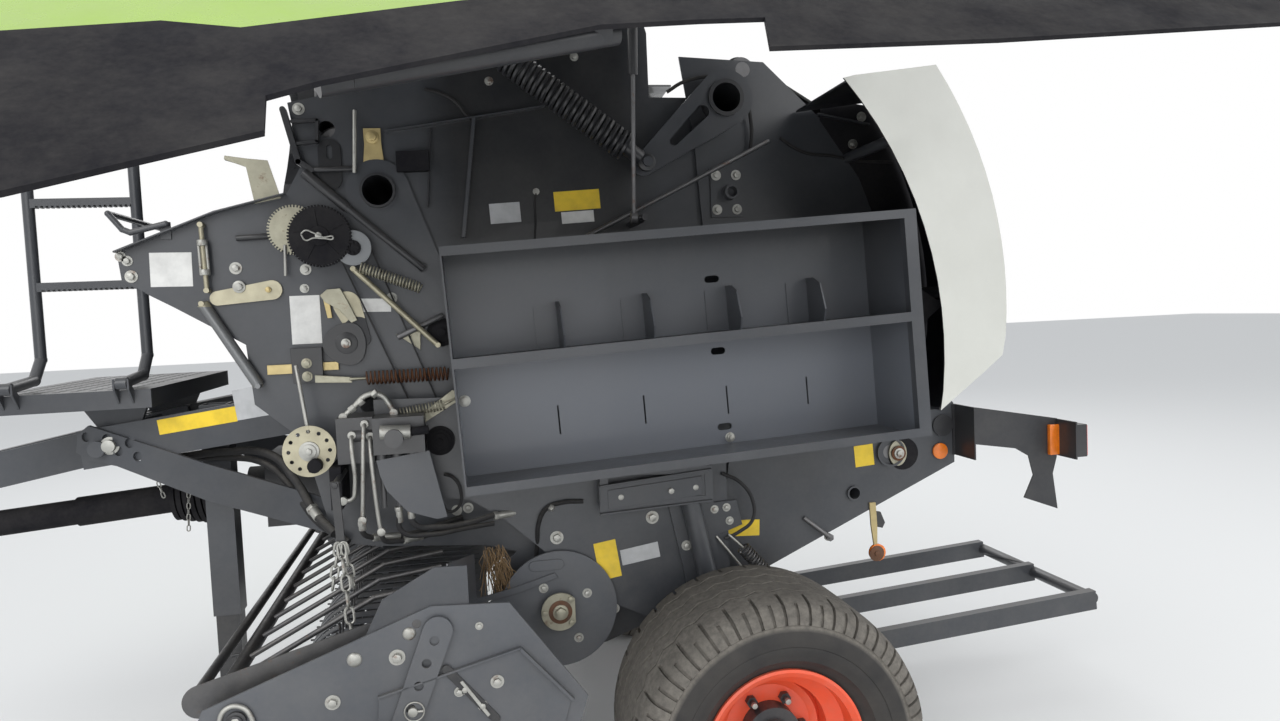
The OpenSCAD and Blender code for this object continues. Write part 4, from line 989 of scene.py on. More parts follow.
# Blank plates on the left: name, x0, z0, x1, z1, distance from the middle, finish, tilt in degrees
PLATES = {
    "base": [
        ("plate_nose", -1748, 1816, -1628, 1920, WALL, "white_plate", -1),
        ("plate_wall", -1352, 1622, -1262, 1774, WALL, "white_plate", 0),
        ("plate_wall_small", -1146, 1714, -1046, 1756, WALL, "white_plate", -2),
        ("plate_list", -719, 1985, -620, 2050, WALL, "silver_plate", 3),
        ("plate_wall_top", -508, 2022, -356, 2086, WALL, "yellow_plate", 3),
        ("plate_wall_low", -486, 1980, -378, 2018, WALL, "white_plate", 3),
        ("plate_tail_yellow", -434, 802, -360, 928, CHASSIS, "yellow_plate", 8),
        ("plate_tail_silver", -352, 850, -222, 902, CHASSIS, "silver_plate", 8),
    ],
    "tailgate": [("plate_gate", 514, 1094, 586, 1170, GATE, "yellow_plate", 4),
                 ("plate_gate_low", 34, 884, 152, 940, GATE, "yellow_plate", -3)],
}
# Plates on the slanted beam: name, distance along, height over the middle line, length, height, finish
BEAM_PLATES = [
    ("plate_beam_yellow", 290, 6, 276, 50, "yellow_plate"),
    ("plate_beam_silver", 566, 8, 118, 100, "silver_plate"),
]
# Middle line of the slanted beam and half its width across, in metres
BEAM = (at(-2090, -252, 1293), at(-1340, -470, 1400))
BEAM_HALF = 0.0452


def sheet_plate(x0, z0, x1, z1, y, tilt):
    """Thin plate on a side face, turned by its tilt."""
    outer = y + sizes().plate_thickness * 1000
    obj = rounded(block(at(x0, -outer, z0), at(x1, -y, z1)), 0.0004, 1)
    centre = at((x0 + x1) / 2, -y, (z0 + z1) / 2)
    turn = Matrix.Rotation(math.radians(-tilt), 4, "Y")
    obj.data.transform(Matrix.Translation(centre) @ turn @ Matrix.Translation(-centre))
    return obj


class BALER_OT_plates(bpy.types.Operator):
    """Blank plates, reflectors and lamp glasses."""

    bl_idname = "baler.plates"
    bl_label = "Plates"

    def execute(self, context):
        for body, rows in PLATES.items():
            for name, x0, z0, x1, z1, y, finish, tilt in rows:
                piece(sheet_plate(x0, z0, x1, z1, y, tilt), name, body, finish)
        for row in BEAM_PLATES:
            self.beam_plate(*row)
        for side, q in (("left", -1), ("right", 1)):
            disc = cylinder(at(842, q * GATE, 1128), at(842, q * (GATE + 10), 1128), 0.029, 32, 0.002)
            piece(disc, "side_reflector_" + side, "tailgate", "orange_lens")
            lamp = block(at(1267, q * 760, 1115), at(1271, q * 856, 1221), 0.0015)
            piece(lamp, "rear_lens_" + side, "tailgate", "red_lens")
            lamp = block(at(1184, q * 757, 1109), at(1236, q * 775, 1217), 0.003)
            piece(lamp, "side_lens_" + side, "tailgate", "orange_lens")
        return {"FINISHED"}

    def beam_plate(self, name, along, over, length, height, finish):
        """Plate on the outer face of the slanted drawbar beam."""
        start, end = BEAM
        run = (end - start).normalized()
        out = Vector((run.y, -run.x, 0)).normalized()
        if out.y > 0:
            out = -out
        up = run.cross(out)
        if up.z < 0:
            up = -up
        obj = rounded(block((0, 0, 0), (mm(length), sizes().plate_thickness, mm(height))), 0.0004, 1)
        place = Matrix((run, out, up)).transposed().to_4x4()
        place.translation = start + run * mm(along) + out * BEAM_HALF + up * mm(over)
        obj.data.transform(place)
        if place.determinant() < 0:
            obj.data.flip_normals()
        piece(obj, name, "base", finish)


# Small springs in the machine frame: name, body, start, end, radius, wire, turns, finish
SMALL_SPRINGS = [
    ("return_spring_long", "base", (-1132, -645, 1506), (-878, -645, 1507), 20, 2.8, 20, "rusty_steel"),
    ("return_spring_short", "base", (-1048, -716, 1393), (-894, -716, 1414), 15, 2.0, 16, "zinc"),
    ("belt_spring", "base", (-1128, -665, 1854), (-948, -665, 1782), 16, 2.5, 20, "zinc"),
    ("lever_spring", "base", (64, -706, 866), (150, -706, 768), 21, 3.4, 12, "tine_steel"),
]
# Round bars: name, start, end, radius, finish
SMALL_BARS = [
    ("corner_bar", (-1282, -630, 2153), (-1158, -630, 2040), 16, "dark_paint"),
    ("channel_bar", (-1158, -644, 2040), (-936, -644, 1842), 11, "dark_paint"),
    ("prop_bar", (-1029, -634, 1629), (-884, -634, 1694), 9, "worn_steel"),
    ("stay_bar", (-507, -722, 1884), (200, -722, 2222), 7, "worn_steel"),
    ("upper_link", (-1119, -634, 2343), (-1131, -634, 2149), 6, "silver_zinc"),
    ("hook_long", (-1182, -645, 1506), (-1130, -645, 1506), 5, "zinc"),
    ("hook_short", (-896, -716, 1414), (-858, -712, 1432), 4, "zinc"),
    ("lever_bar_left", (-1330, -700, 1560), (-1294, -735, 1300), 6, "silver_zinc"),
    ("nose_pin", (-1494, -618, 1957), (-1388, -618, 1962), 9, "dark_paint"),
    ("drop_pin", (-1351, -630, 1932), (-1355, -630, 1836), 5, "silver_zinc"),
    ("knob", (-1283, -738, 1258), (-1283, -778, 1258), 21, "dark_moulding"),
    ("coil_body", (-1080, -858, 1357), (-992, -858, 1354), 21, "silver_zinc"),
    ("coil_plug", (-992, -858, 1354), (-940, -858, 1357), 13, "dark_moulding"),
    ("guide_rod", (-26, -700, 913), (84, -700, 768), 4, "silver_zinc"),
    ("hook_rod", (16, -704, 916), (66, -704, 866), 4, "silver_zinc"),
    ("gate_latch", (315, -628, 929), (402, -650, 856), 8, "worn_steel"),
    ("gate_boss", (792, -626, 1324), (792, -700, 1324), 28, "tine_steel"),
    ("channel_end", (-1259, -626, 2161), (-1134, -626, 2163), 9, "dark_paint"),
]
# Egg-shaped outline of the plate behind the lower idler
TURNS = [math.tau * k / 24 for k in range(24)]
EGG = [(-1187 + 66 * math.cos(a) - 8 * math.cos(2 * a), 1616 + 68 * math.sin(a)) for a in TURNS]
# Plates cut from sheet: name, body, distance, thickness, finish, outline of [x, z]
SHEETS = [
    ("nose_flange", "base", 606, 34, "frame_grey",
     [(-1837, 1922), (-1549, 2035), (-1343, 2086), (-1343, 2091), (-1550, 2040), (-1838, 1927)]),
    ("nose_hook", "base", 614, 2, "zinc",
     [(-1434, 2062), (-1356, 2077), (-1388, 2194), (-1446, 2200), (-1512, 2210), (-1514, 2198),
      (-1452, 2174)]),
    ("curl_bracket", "base", 612, 7, "yellow_zinc",
     [(-1099, 2290), (-1046, 2290), (-1046, 2240), (-1040, 2180), (-1104, 2180), (-1098, 2240)]),
    ("cam_plate", "base", 622, 6, "zinc",
     [(-1258, 1772), (-1236, 1790), (-1196, 1792), (-1172, 1742), (-1150, 1690), (-1168, 1682),
      (-1204, 1726), (-1244, 1750)]),
    ("cam_tail", "base", 616, 6, "yellow_zinc",
     [(-1250, 1760), (-1232, 1760), (-1226, 1700), (-1240, 1700)]),
    ("spring_arm", "base", 700, 6, "zinc",
     [(-990, 1372), (-976, 1350), (-858, 1418), (-852, 1452), (-868, 1458)]),
    ("prop_gusset", "base", 612, 6, "zinc", [(-1036, 1640), (-1016, 1636), (-958, 1648), (-962, 1586)]),
    ("twine_bracket", "base", WALL, 26, "dark_paint",
     [(-1356, 1610), (-1262, 1610), (-1262, 1500), (-1352, 1500)]),
    ("zinc_strip_left", "base", WALL, 10, "yellow_zinc",
     [(-1430, 1561), (-1356, 1561), (-1356, 1531), (-1430, 1531)]),
    ("zinc_strip_right", "base", WALL, 12, "yellow_zinc",
     [(-1272, 1562), (-1216, 1562), (-1216, 1536), (-1272, 1536)]),
    ("zinc_tongue", "base", 634, 8, "zinc", [(-1286, 1524), (-1176, 1512), (-1176, 1494), (-1286, 1500)]),
    ("idler_plate", "base", 618, 5, "dark_paint", EGG),
    ("side_gusset", "base", CHASSIS, 10, "frame_grey", [(-116, 1024), (49, 1031), (67, 945), (-47, 907)]),
    ("box_cover", "base", 749, 8, "frame_grey", [(-424, 1128), (-52, 1156), (-52, 1047), (-424, 1032)]),
    ("box_cover_top", "base", 757, 12, "frame_grey",
     [(-424, 1128), (-52, 1156), (-52, 1150), (-424, 1122)]),
    ("box_cover_low", "base", 757, 12, "frame_grey",
     [(-424, 1038), (-52, 1053), (-52, 1047), (-424, 1032)]),
    ("box_cover_panel", "base", 757, 4, "frame_grey",
     [(-397, 1110), (-84, 1133), (-84, 1070), (-397, 1049)]),
    ("spring_lever", "base", 700, 6, "dark_paint",
     [(-30, 792), (60, 778), (176, 778), (180, 756), (60, 752), (-30, 752)]),
    ("shelf_plate", "base", 803, 4, "pickup_grey",
     [(-1101, 1267), (-944, 1287), (-901, 1079), (-932, 1074), (-1019, 1105), (-1076, 1174),
      (-1092, 1218)]),
    ("control_box", "base", WALL, 182, "dark_moulding",
     [(-1240, 1252), (-1206, 1252), (-1206, 1124), (-1240, 1124)]),
    ("valve_body", "base", WALL, 162, "valve_finish",
     [(-1216, 1396), (-1108, 1396), (-1108, 1256), (-1216, 1256)]),
    ("bay_rail", "base", 606, 28, "frame_grey",
     [(-1032, 2281), (-525, 2360), (-525, 2355), (-1032, 2276)]),
    ("bay_post", "base", 606, 28, "frame_grey", [(-760, 2322), (-748, 2322), (-801, 1940), (-813, 1940)]),
    ("bay_edge", "base", 606, 14, "dark_paint", [(-894, 2290), (-889, 2290), (-912, 2040), (-917, 2040)]),
    ("bay_pocket", "base", 606, 44, "dark_moulding",
     [(-1002, 2212), (-901, 2216), (-901, 2153), (-1002, 2150)]),
    ("pickup_panel", "pickup", PICKUP, 6, "pickup_grey",
     [(-1100, 672), (-881, 724), (-716, 764), (-580, 604), (-600, 540), (-1110, 540)]),
    ("pickup_edge", "pickup", PICKUP, 16, "pickup_grey",
     [(-1100, 672), (-881, 724), (-716, 764), (-716, 769), (-881, 730), (-1102, 677)]),
    ("pickup_wing", "pickup", 1104, 6, "frame_grey",
     [(-1134, 824), (-1078, 934), (-936, 1010), (-848, 1007), (-848, 870), (-1000, 870)]),
    ("pickup_edge_rear", "pickup", PICKUP, 16, "pickup_grey",
     [(-716, 769), (-710, 764), (-572, 604), (-580, 600), (-716, 758)]),
    ("rotor_lever", "pickup", 712, 5, "pickup_grey",
     [(-851, 784), (-700, 812), (-575, 846), (-566, 830), (-700, 790), (-846, 768)]),
    ("gate_hook", "tailgate", GATE, 8, "yellow_zinc",
     [(562, 962), (586, 962), (590, 880), (588, 800), (576, 800), (566, 880)]),
    ("gate_tab", "tailgate", 620, 8, "dark_paint",
     [(586, 930), (606, 925), (622, 885), (612, 866), (590, 872)]),
    ("gate_edge", "tailgate", GATE, 16, "frame_grey",
     [(410, 2332), (600, 2296), (600, 2290), (410, 2326)]),
    ("gate_recess", "tailgate", GATE, 2, "dark_moulding", round_outline(700, 1128, 58, 58, 40)),
    ("gate_flange", "tailgate", 626, 8, "zinc", round_outline(676, 1133, 34, 46, 32)),
    ("fan_bracket", "base", 1000, 8, "dark_moulding",
     [(518, 1728), (560, 1722), (646, 1668), (642, 1652), (600, 1620), (566, 1540), (518, 1524)]),
    ("strap_light", "pickup", 1130, 4, "silver_zinc",
     [(-884, 692), (-876, 696), (-806, 592), (-814, 586)]),
]
# Flat bars with round ends: name, body, two places, width, distance, thickness, finish
STRAPS = [
    ("strap_dark", "pickup", [(-918, 730), (-792, 576)], 24, 1124, 6, "dark_paint"),
    ("channel_frame_a", "base", [(-1332, 2346), (-1296, 2186)], 18, 606, 30, "dark_paint"),
    ("channel_frame_b", "base", [(-1308, 2310), (-1234, 2314)], 10, 606, 26, "dark_paint"),
    ("channel_frame_c", "base", [(-1300, 2242), (-1238, 2249)], 10, 606, 26, "dark_paint"),
    ("channel_frame_d", "base", [(-1234, 2314), (-1238, 2249)], 10, 606, 26, "dark_paint"),
    ("channel_frame_e", "base", [(-1296, 2186), (-1259, 2161)], 18, 606, 30, "dark_paint"),
    ("shield_lever", "pickup", [(-640, 872), (-560, 872)], 34, 708, 5, "pickup_grey"),
]


class BALER_OT_springs(bpy.types.Operator):
    """Coil springs: the two large ones of the belt tension and the small ones of the wrapping unit."""

    bl_idname = "baler.springs"
    bl_label = "Springs"

    def execute(self, context):
        start, end = at(-690, -760, 2500), at(-225, -760, 2150)
        run = (end - start).normalized()
        parts = [
            coil(start + run * 0.04, end - run * 0.075, 0.040, 0.0072, 27),
            cylinder(start + run * 0.018, start + run * 0.07, 0.031, 24, 0.003),
            cylinder(end - run * 0.13, end - run * 0.02, 0.024, 24, 0.003),
        ]
        half_eye = Vector((0, 0.014, 0))
        for place in (start, end):
            parts.append(cylinder(place - half_eye, place + half_eye, 0.028, 24, 0.002))
        left = joined(parts)
        both = joined([left, mirrored(left)])
        piece(both, "main_springs", "base", "dark_paint")
        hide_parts("tension_spring")
        for name, body, a, b, radius, wire, turns, finish in SMALL_SPRINGS:
            obj = coil(at(*a), at(*b), mm(radius), mm(wire), turns)
            piece(obj, name, body, finish)
        return {"FINISHED"}


class BALER_OT_linkage(bpy.types.Operator):
    """Bars, cut plates and bearings of the wrapping unit and the side."""

    bl_idname = "baler.linkage"
    bl_label = "Linkage"

    def execute(self, context):
        gate_bars = ("gate_latch", "gate_boss")
        for name, a, b, radius, finish in SMALL_BARS:
            bar = cylinder(at(*a), at(*b), mm(radius), 20, 0.001)
            piece(bar, name, "tailgate" if name in gate_bars else "base", finish)
        for name, body, y, thick, finish, outline in SHEETS:
            piece(cut_plate(outline, y, thick), name, body, finish)
        for name, body, places, width, y, thick, finish in STRAPS:
            piece(flat_bar(places, width, y, thick), name, body, finish)
        self.round_parts()
        self.gear_rims()
        self.gear_hub()
        self.gate_shields()
        self.belt()
        self.pipes()
        self.turnbuckle()
        self.rotor_bearing()
        return {"FINISHED"}

    def round_parts(self):
        """Turned discs and nuts on the side faces."""
        # Name, body, x, z, distance, rings of radius and height, finish
        rows = (
            ("idler_low", "base", -1187, 1619, WALL, ((60, 14), (34, 18), (16, 24)), "dark_paint"),
            ("idler_wall", "base", -893, 1639, WALL, ((46, 12), (36, 18), (30, 22), (14, 30)),
             "dark_moulding"),
            ("idler_box", "base", -914, 1299, CHASSIS, ((46, 10), (36, 16), (26, 20), (10, 26)),
             "dark_moulding"),
            ("disc_nut", "base", -1300, 1300, 742, ((30, 6), (22, 12), (11, 20)), "silver_zinc"),
            ("lever_nut", "base", -1495, 1808, 618, ((19, 4), (13, 16)), "silver_zinc"),
            ("lever_pivot", "base", -1410, 1796, 618, ((9, 8), (6, 12)), "yellow_zinc"),
            ("bracket_nut_high", "base", -1309, 1562, 634, ((16, 4), (12, 12)), "zinc"),
            ("bracket_nut_low", "base", -1309, 1521, 634, ((16, 4), (12, 12)), "zinc"),
            ("bracket_bolt", "base", -1072, 2262, 619, ((20, 5), (13, 14)), "yellow_zinc"),
            ("idler_nut", "base", -1187, 1619, 640, ((15, 4), (10, 12)), "silver_zinc"),
            ("box_stud", "base", 1, 1262, 815, ((16, 3), (12, 14), (8, 24)), "silver_zinc"),
            ("box_ring", "base", -831, 1431, 815, ((18, 3), (13, 10)), "silver_zinc"),
            ("hitch_bolt", "base", -1994, 1309, 336, ((30, 5), (21, 22)), "silver_zinc"),
            ("gate_disc", "tailgate", 588, 780, 622, ((31, 12),), "orange_lens"),
            ("gate_disc_face", "tailgate", 583, 778, 634, ((28, 4), (9, 8)), "rusty_steel"),
            ("gate_ring", "tailgate", 676, 1133, 634, ((27, 7),), "rusty_steel"),
            ("gate_bolt", "tailgate", 676, 1133, 641, ((19, 4), (12, 14)), "silver_zinc"),
            ("gate_latch_nut", "tailgate", 402, 856, 640, ((14, 14),), "worn_steel"),
            ("corner_boss", "pickup", -1462, 655, PICKUP, ((26, 10), (18, 16)), "dark_paint"),
        )
        for name, body, x, z, y, rings, finish in rows:
            parts = []
            for radius, height in rings:
                sides = 6 if "nut" in name and (radius, height) == rings[-1] else 32
                parts.append(boss(x, z, y, y + height, mm(radius), sides, 0.0012))
            piece(joined(parts), name, body, finish)

    def gear_rims(self):
        """Toothed rims of the sector gear and the black gear."""
        # Name, x, z, from and to this distance, radius, teeth, their height in metres, finish
        rims = (("sector_teeth", -1325, 1978, 620, 627, 70, 48, 0.0075, "zinc"),
                ("gear_teeth", *GEAR, 636, 653, 90, 60, 0.006, "dark_moulding"))
        for name, x, z, low, high, radius, teeth, rise, finish in rims:
            ring = boss(x, z, low, high, mm(radius), teeth * 2, 0.0)
            middle = at(x, 0, z)

            def is_tooth(place):
                """True on every second face of the rim."""
                away = place - middle
                step = math.floor(math.atan2(away.x, away.z) * teeth / math.pi)
                return math.hypot(away.x, away.z) > mm(radius) * 0.98 and step % 2 == 0

            pick(ring, is_tooth, "FACE")
            bpy.ops.mesh.inset(thickness=0.0, depth=rise, use_individual=True, use_even_offset=False)
            bpy.ops.object.mode_set(mode="OBJECT")
            piece(ring, name, "base", finish, 25)

    def gear_hub(self):
        """Hub, ribs, nut and split pin of the black gear, and the hub of the pulley."""
        hub = [boss(*GEAR, 652, 658, 0.030)]
        face = at(GEAR[0], -653, GEAR[1])
        for k in range(5):
            angle = math.radians(25 + 72 * k)
            out = Vector((math.cos(angle), 0, math.sin(angle)))
            hub.append(tube([face + out * 0.026, face + out * 0.080], 0.0022, 6))
        piece(joined(hub), "gear_hub", "base", "dark_moulding")
        nut = boss(*GEAR, 656, 672, 0.011, 6)
        shape = ((-50, 6), (-36, 16), (-14, 8), (14, -6), (44, -8), (14, -10), (-14, -8), (-38, -14),
                 (-50, 4))
        pin = bent([(GEAR[0] + x, -673, GEAR[1] + z) for x, z in shape], 0.0024, 8)
        piece(joined([nut, pin]), "split_pin", "base", "silver_zinc")
        hub = [boss(*PULLEY, 642, 650, 0.024)]
        for x, z in round_outline(*PULLEY, 17, 17, 8):
            hub.append(boss(x, z, 650, 655, 0.0045, 12, 0.0008))
        piece(joined(hub), "pulley_hub", "base", "dark_moulding")

    def gate_shields(self):
        """Black sheet on each side between the tailgate plate and its white cover."""
        outline = [(425, 2346), (515, 2370), (600, 2358), (666, 2268), (738, 2142), (800, 2005), (850, 1824),
                   (866, 1686), (876, 1455), (865, 1282), (760, 1277), (640, 1500), (640, 1900), (560, 2110),
                   (420, 2310)]
        left = cut_plate(outline, GATE, 3, 0.0006)
        on_both_sides(left, "gate_shield_{}", "tailgate", "dark_moulding")

    def belt(self):
        """Flat belt from the pulley down behind the side frame to its lower pulley."""
        high, low = Vector(PULLEY), Vector(LOW_PULLEY)
        run = (low - high).normalized()
        rounds = ((high, 49, math.atan2(-run.y, -run.x)), (low, 38, math.atan2(run.y, run.x)))
        loop = []
        for centre, radius, middle in rounds:
            for k in range(13):
                angle = middle + math.pi * (k / 12 - 0.5)
                place = centre + Vector((math.cos(angle), math.sin(angle))) * radius
                loop.append(at(place.x, -627, place.y))
        thick = 0.005
        obj = drawn_line(loop, closed=True)
        edit_all(obj)
        bpy.ops.mesh.extrude_region_move(TRANSFORM_OT_translate={"value": (0, -thick, 0)})
        bpy.ops.object.mode_set(mode="OBJECT")
        wall = obj.modifiers.new("wall", "SOLIDIFY")
        wall.thickness = thick
        wall.offset = 0
        bpy.ops.object.modifier_apply(modifier=wall.name)
        piece(obj, "drive_belt", "base", "hose_rubber", 40)
        wheel = boss(*LOW_PULLEY, WALL, 636, 0.035, 32, 0.002)
        piece(wheel, "drive_belt_pulley", "base", "tine_steel")

    def pipes(self):
        """Bright pipes of the valve body with their ring fittings, and the elbow on top."""
        rows = (
            [(-1170, -772, 1344), (-1170, -796, 1332), (-1169, -796, 1180), (-1178, -794, 1154),
             (-1204, -790, 1150)],
            [(-1131, -772, 1376), (-1132, -796, 1366), (-1150, -796, 1110), (-1152, -794, 1088)],
            [(-1117, -772, 1338), (-1117, -796, 1326), (-1103, -796, 1070), (-1099, -794, 1048)],
            [(-1196, -742, 1398), (-1170, -742, 1420), (-1118, -742, 1462), (-1082, -742, 1458),
             (-1056, -742, 1424), (-1046, -742, 1402)],
        )
        parts = []
        for row in rows:
            parts.append(bent(row, 0.0085 if row is rows[-1] else 0.0062))
            for x, y, z in (row[0], row[-1]):
                parts.append(cylinder(at(x, y + 8, z), at(x, y - 10, z), 0.0125, 16, 0.001))
        for x, z in ((-1168, 1421), (-1142, 1441), (-1100, 1463)):
            parts.append(cylinder(at(x - 8, -742, z - 6), at(x + 8, -742, z + 6), 0.0125, 6, 0.001))
        piece(joined(parts), "bright_pipes", "base", "silver_zinc")

    def turnbuckle(self):
        """Body of the turnbuckle at the nose, with its screws."""
        top, low = at(-1590, -630, 1985), at(-1586, -630, 1815)
        run = (low - top).normalized()
        parts = [cylinder(top, top + run * 0.05, 0.005, 12), cylinder(low - run * 0.05, low, 0.005, 12)]
        for q in (-1, 1):
            shift = Vector((q * 0.011, 0, 0))
            parts.append(cylinder(top + run * 0.04 + shift, low - run * 0.04 + shift, 0.0045, 12, 0.001))
        for middle in (top + run * 0.04, low - run * 0.04):
            parts.append(cylinder(middle - run * 0.009, middle + run * 0.009, 0.0155, 16, 0.002))
        piece(joined(parts), "turnbuckle", "base", "silver_zinc")

    def rotor_bearing(self):
        """Flanged bearing of the rotor on each side, cut off at the rear, with its seal and bolt."""
        x, z = ROTOR
        outline = []
        for k in range(33):
            angle = math.radians(38 + 284 * k / 32)
            outline.append((x + 62 * math.cos(angle), z + 62 * math.sin(angle)))
        flange = [cut_plate(outline, 735, 7, 0.0012)]
        for angle in (48, 180, 312):
            nut_x, nut_z = x + 51 * math.cos(math.radians(angle)), z + 51 * math.sin(math.radians(angle))
            flange.append(boss(nut_x, nut_z, 741, 748, 0.010, 6))
        seal = [boss(x, z, 741, 745, 0.038)]
        centre_bolt = [boss(x, z, 744, 749, 0.025), boss(x, z, 748, 764, 0.019, 6, 0.0015)]
        rows = (("flange", flange, "zinc"), ("seal", seal, "rusty_steel"), ("bolt", centre_bolt, "zinc"))
        for name, parts, finish in rows:
            on_both_sides(joined(parts), "bearing_" + name + "_{}", "pickup", finish)


# Hoses and cables clamped to the machine: name, radius, places in the machine frame
LINES = [
    ("hose_beam_a", 14,
     [(-1840, -300, 1245), (-1640, -330, 1262), (-1480, -400, 1250), (-1390, -490, 1170),
      (-1320, -600, 1085), (-1250, -690, 1030)]),
    ("hose_beam_b", 11,
     [(-1840, -270, 1235), (-1650, -300, 1238), (-1500, -380, 1215), (-1400, -470, 1130),
      (-1310, -590, 1045), (-1215, -650, 990)]),
    ("hose_low_a", 9,
     [(-1010, -792, 1105), (-1000, -790, 1060), (-940, -770, 1042), (-840, -740, 1040),
      (-740, -700, 1050), (-640, -660, 1030)]),
    ("hose_low_b", 8,
     [(-1045, -792, 1105), (-1040, -780, 1040), (-960, -760, 1018), (-860, -730, 1020),
      (-760, -700, 1022)]),
    ("hose_low_c", 8,
     [(-1152, -794, 1084), (-1154, -790, 1050), (-1130, -765, 1026), (-1040, -730, 1016),
      (-940, -700, 1030), (-860, -650, 1040)]),
    ("hose_low_d", 8,
     [(-1099, -794, 1046), (-1096, -786, 1022), (-1060, -750, 1004), (-980, -700, 1000),
      (-900, -650, 1010), (-860, -615, 1020)]),
    ("hose_clip", 7,
     [(-470, -698, 1068), (-540, -702, 1070), (-592, -702, 1054), (-618, -702, 1008), (-624, -690, 950),
      (-628, -650, 890)]),
    ("hose_box", 5,
     [(-907, -700, 1192), (-880, -706, 1180), (-858, -706, 1130), (-868, -704, 1085), (-900, -702, 1072),
      (-918, -700, 1100)]),
    ("hose_rear", 6,
     [(2, -698, 1124), (60, -712, 1092), (104, -714, 1020), (98, -714, 958), (56, -704, 922),
      (6, -698, 900)]),
    ("hose_arm", 6,
     [(-120, -640, 2400), (-60, -650, 2432), (60, -655, 2440), (140, -655, 2380), (165, -650, 2290),
      (160, -645, 2200)]),
    ("hose_gate", 5,
     [(273, -628, 2250), (318, -632, 2217), (370, -632, 2195), (457, -632, 2186), (551, -632, 2168),
      (684, -632, 2162)]),
    ("cable_bay", 5,
     [(-904, -620, 2411), (-850, -620, 2396), (-802, -620, 2364), (-778, -620, 2330), (-752, -622, 2312)]),
    ("cable_post", 3,
     [(-566, -614, 2080), (-572, -618, 2050), (-572, -618, 1990), (-578, -618, 1930)]),
]


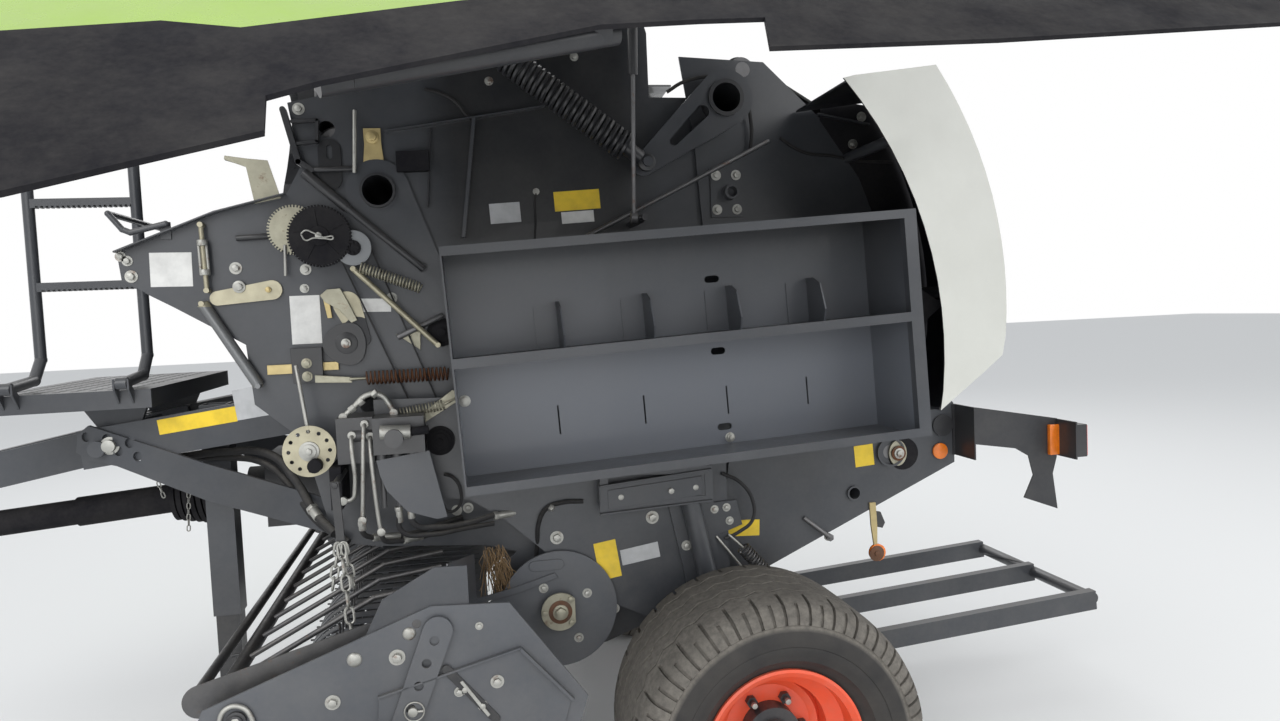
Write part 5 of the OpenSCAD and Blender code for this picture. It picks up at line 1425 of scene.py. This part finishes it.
class BALER_OT_hoses(bpy.types.Operator):
    """Hoses and pipes that are clamped to the machine, and the chains."""

    bl_idname = "baler.hoses"
    bl_label = "Hoses and chains"

    def execute(self, context):
        for name, radius, places in LINES:
            body = "tailgate" if name == "hose_gate" else "base"
            piece(bent(places, mm(radius)), name, body, "hose_rubber")
        self.fittings()
        self.chains()
        self.small_wires()
        self.residue()
        return {"FINISHED"}

    def small_wires(self):
        """Handle of the jack, and linch pin and corner hoop of the pickup."""
        handle = [(-1672, -306, 545), (-1650, -308, 548), (-1636, -308, 535), (-1634, -308, 452),
                  (-1646, -308, 438), (-1672, -306, 440)]
        piece(bent(handle, 0.006, 10), "jack_handle", "jack", "dark_paint")
        ring = [at(x, -1137, z) for x, z in round_outline(-1008, 628, 26, 26, 20)]
        pin = [tube(ring, 0.0022, 8, closed=True, smooth=False),
               boss(-1012, 628, PICKUP, 1144, 0.013, 24, 0.002),
               bent([(-1012, -1139, 628), (-984, -1139, 628)], 0.004, 8)]
        piece(joined(pin), "linch_pin", "pickup", "silver_zinc")
        hoop = [(-1500, 610), (-1502, 660), (-1484, 692), (-1448, 694), (-1424, 664), (-1418, 612)]
        hoop = bent([(x, -1126, z) for x, z in hoop], 0.0065)
        piece(hoop, "corner_hoop", "pickup", "silver_zinc")

    def residue(self):
        """Dry stalks caught beside the rotor."""
        spread = random.Random(11)
        blades = []
        for blade in range(90):
            x, y, z = spread.uniform(0, 70), spread.uniform(0, 22), spread.uniform(-10, 40)
            root = at(-800 + x, -672 - y, 905 + z)
            x, y = spread.uniform(-0.03, 0.05), spread.uniform(-0.03, 0.01)
            tip = root + Vector((x, y, -spread.uniform(0.05, 0.17)))
            middle = (root + tip) / 2 + Vector((spread.uniform(-0.02, 0.02), -0.006, 0))
            blades.append(tube([root, middle, tip], 0.0012, 4, smooth=False))
        piece(joined(blades), "crop_residue", "base", "straw")

    def fittings(self):
        """Crimped ends of the hoses."""
        # Start, end and radius of each
        rows = (
            ((-1330, -588, 1096), (-1304, -624, 1070), 16),
            ((-1010, -792, 1120), (-1008, -791, 1080), 11),
            ((-1045, -792, 1120), (-1043, -786, 1070), 10),
            ((-760, -708, 1047), (-690, -680, 1046), 12),
            ((-1154, -792, 1084), (-1154, -790, 1056), 11),
            ((-1128, -763, 1025), (-1050, -733, 1017), 11),
            ((-1040, -738, 1003), (-985, -703, 1001), 11),
            ((-572, -700, 1062), (-580, -708, 1050), 9),
        )
        parts = []
        for a, b, radius in rows:
            a, b = at(*a), at(*b)
            parts.append(cylinder(a, b, mm(radius), 16, 0.0012))
            parts.append(cylinder(a, a + (b - a).normalized() * 0.014, mm(radius * 1.25), 6, 0.001))
        piece(joined(parts), "hose_ends", "base", "silver_zinc")

    def chains(self):
        """Chain between the frame and the pickup, and the two safety chains of the shaft guard."""
        outline = [(-1222, 1230), (-1198, 1230), (-1190, 1040), (-1200, 1030), (-1214, 1040)]
        lever = cut_plate(outline, 900, 8)
        arm = cylinder(at(-1210, -690, 1225), at(-1210, -912, 1218), 0.010, 16, 0.002)
        piece(joined([lever, arm]), "chain_lever", "base", "dark_paint")
        top, low = at(-1202, -912, 1052), at(-1176, -985, 790)
        long = chain(top, low, 0.054, 0.031, 0.0038)
        piece(long, "pickup_chain", None, "silver_zinc")
        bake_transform(long)
        loops = []
        for side in (-1, 1):
            start, end = at(-1202 + side * 6, -914, 1052), at(-1202 + side * 30, -916, 920)
            loops.append(chain(start, end, 0.046, 0.027, 0.0034))
        piece(joined(loops), "chain_loops", "base", "silver_zinc")
        guard = [chain(at(-1937, -120, 1181), at(-1908, -122, 1084), 0.026, 0.015, 0.0022),
                 chain(at(-1820, -120, 1179), at(-1835, -122, 956), 0.026, 0.015, 0.0022)]
        piece(joined(guard), "guard_chains", "base", "silver_zinc")


STEPS = ("stage", "finishes", "tyres", "bolts", "plates", "springs", "linkage", "hoses")


class BALER_PT_panel(bpy.types.Panel):
    """Lists the steps that dress the baler."""

    bl_label = "Round baler"
    bl_idname = "BALER_PT_panel"
    bl_space_type = "VIEW_3D"
    bl_region_type = "UI"
    bl_category = "Round baler"

    def draw(self, context):
        layout = self.layout
        for group in (sizes(), context.scene.baler_colours):
            box = layout.box()
            for key in group.__annotations__:
                box.prop(group, key)
        for step in STEPS:
            layout.operator("baler." + step)


CLASSES = (
    BalerSizes, BalerColours, BALER_OT_stage, BALER_OT_finishes, BALER_OT_tyres, BALER_OT_bolts,
    BALER_OT_plates, BALER_OT_springs, BALER_OT_linkage, BALER_OT_hoses, BALER_PT_panel,
)


def register():
    for cls in CLASSES:
        bpy.utils.register_class(cls)
    bpy.types.Scene.baler_sizes = PointerProperty(type=BalerSizes)
    bpy.types.Scene.baler_colours = PointerProperty(type=BalerColours)


def unregister():
    del bpy.types.Scene.baler_colours
    del bpy.types.Scene.baler_sizes
    for cls in reversed(CLASSES):
        bpy.utils.unregister_class(cls)


def main():
    """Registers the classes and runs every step."""
    register()
    for step in STEPS:
        getattr(bpy.ops.baler, step)()


if __name__ == "__main__":
    main()
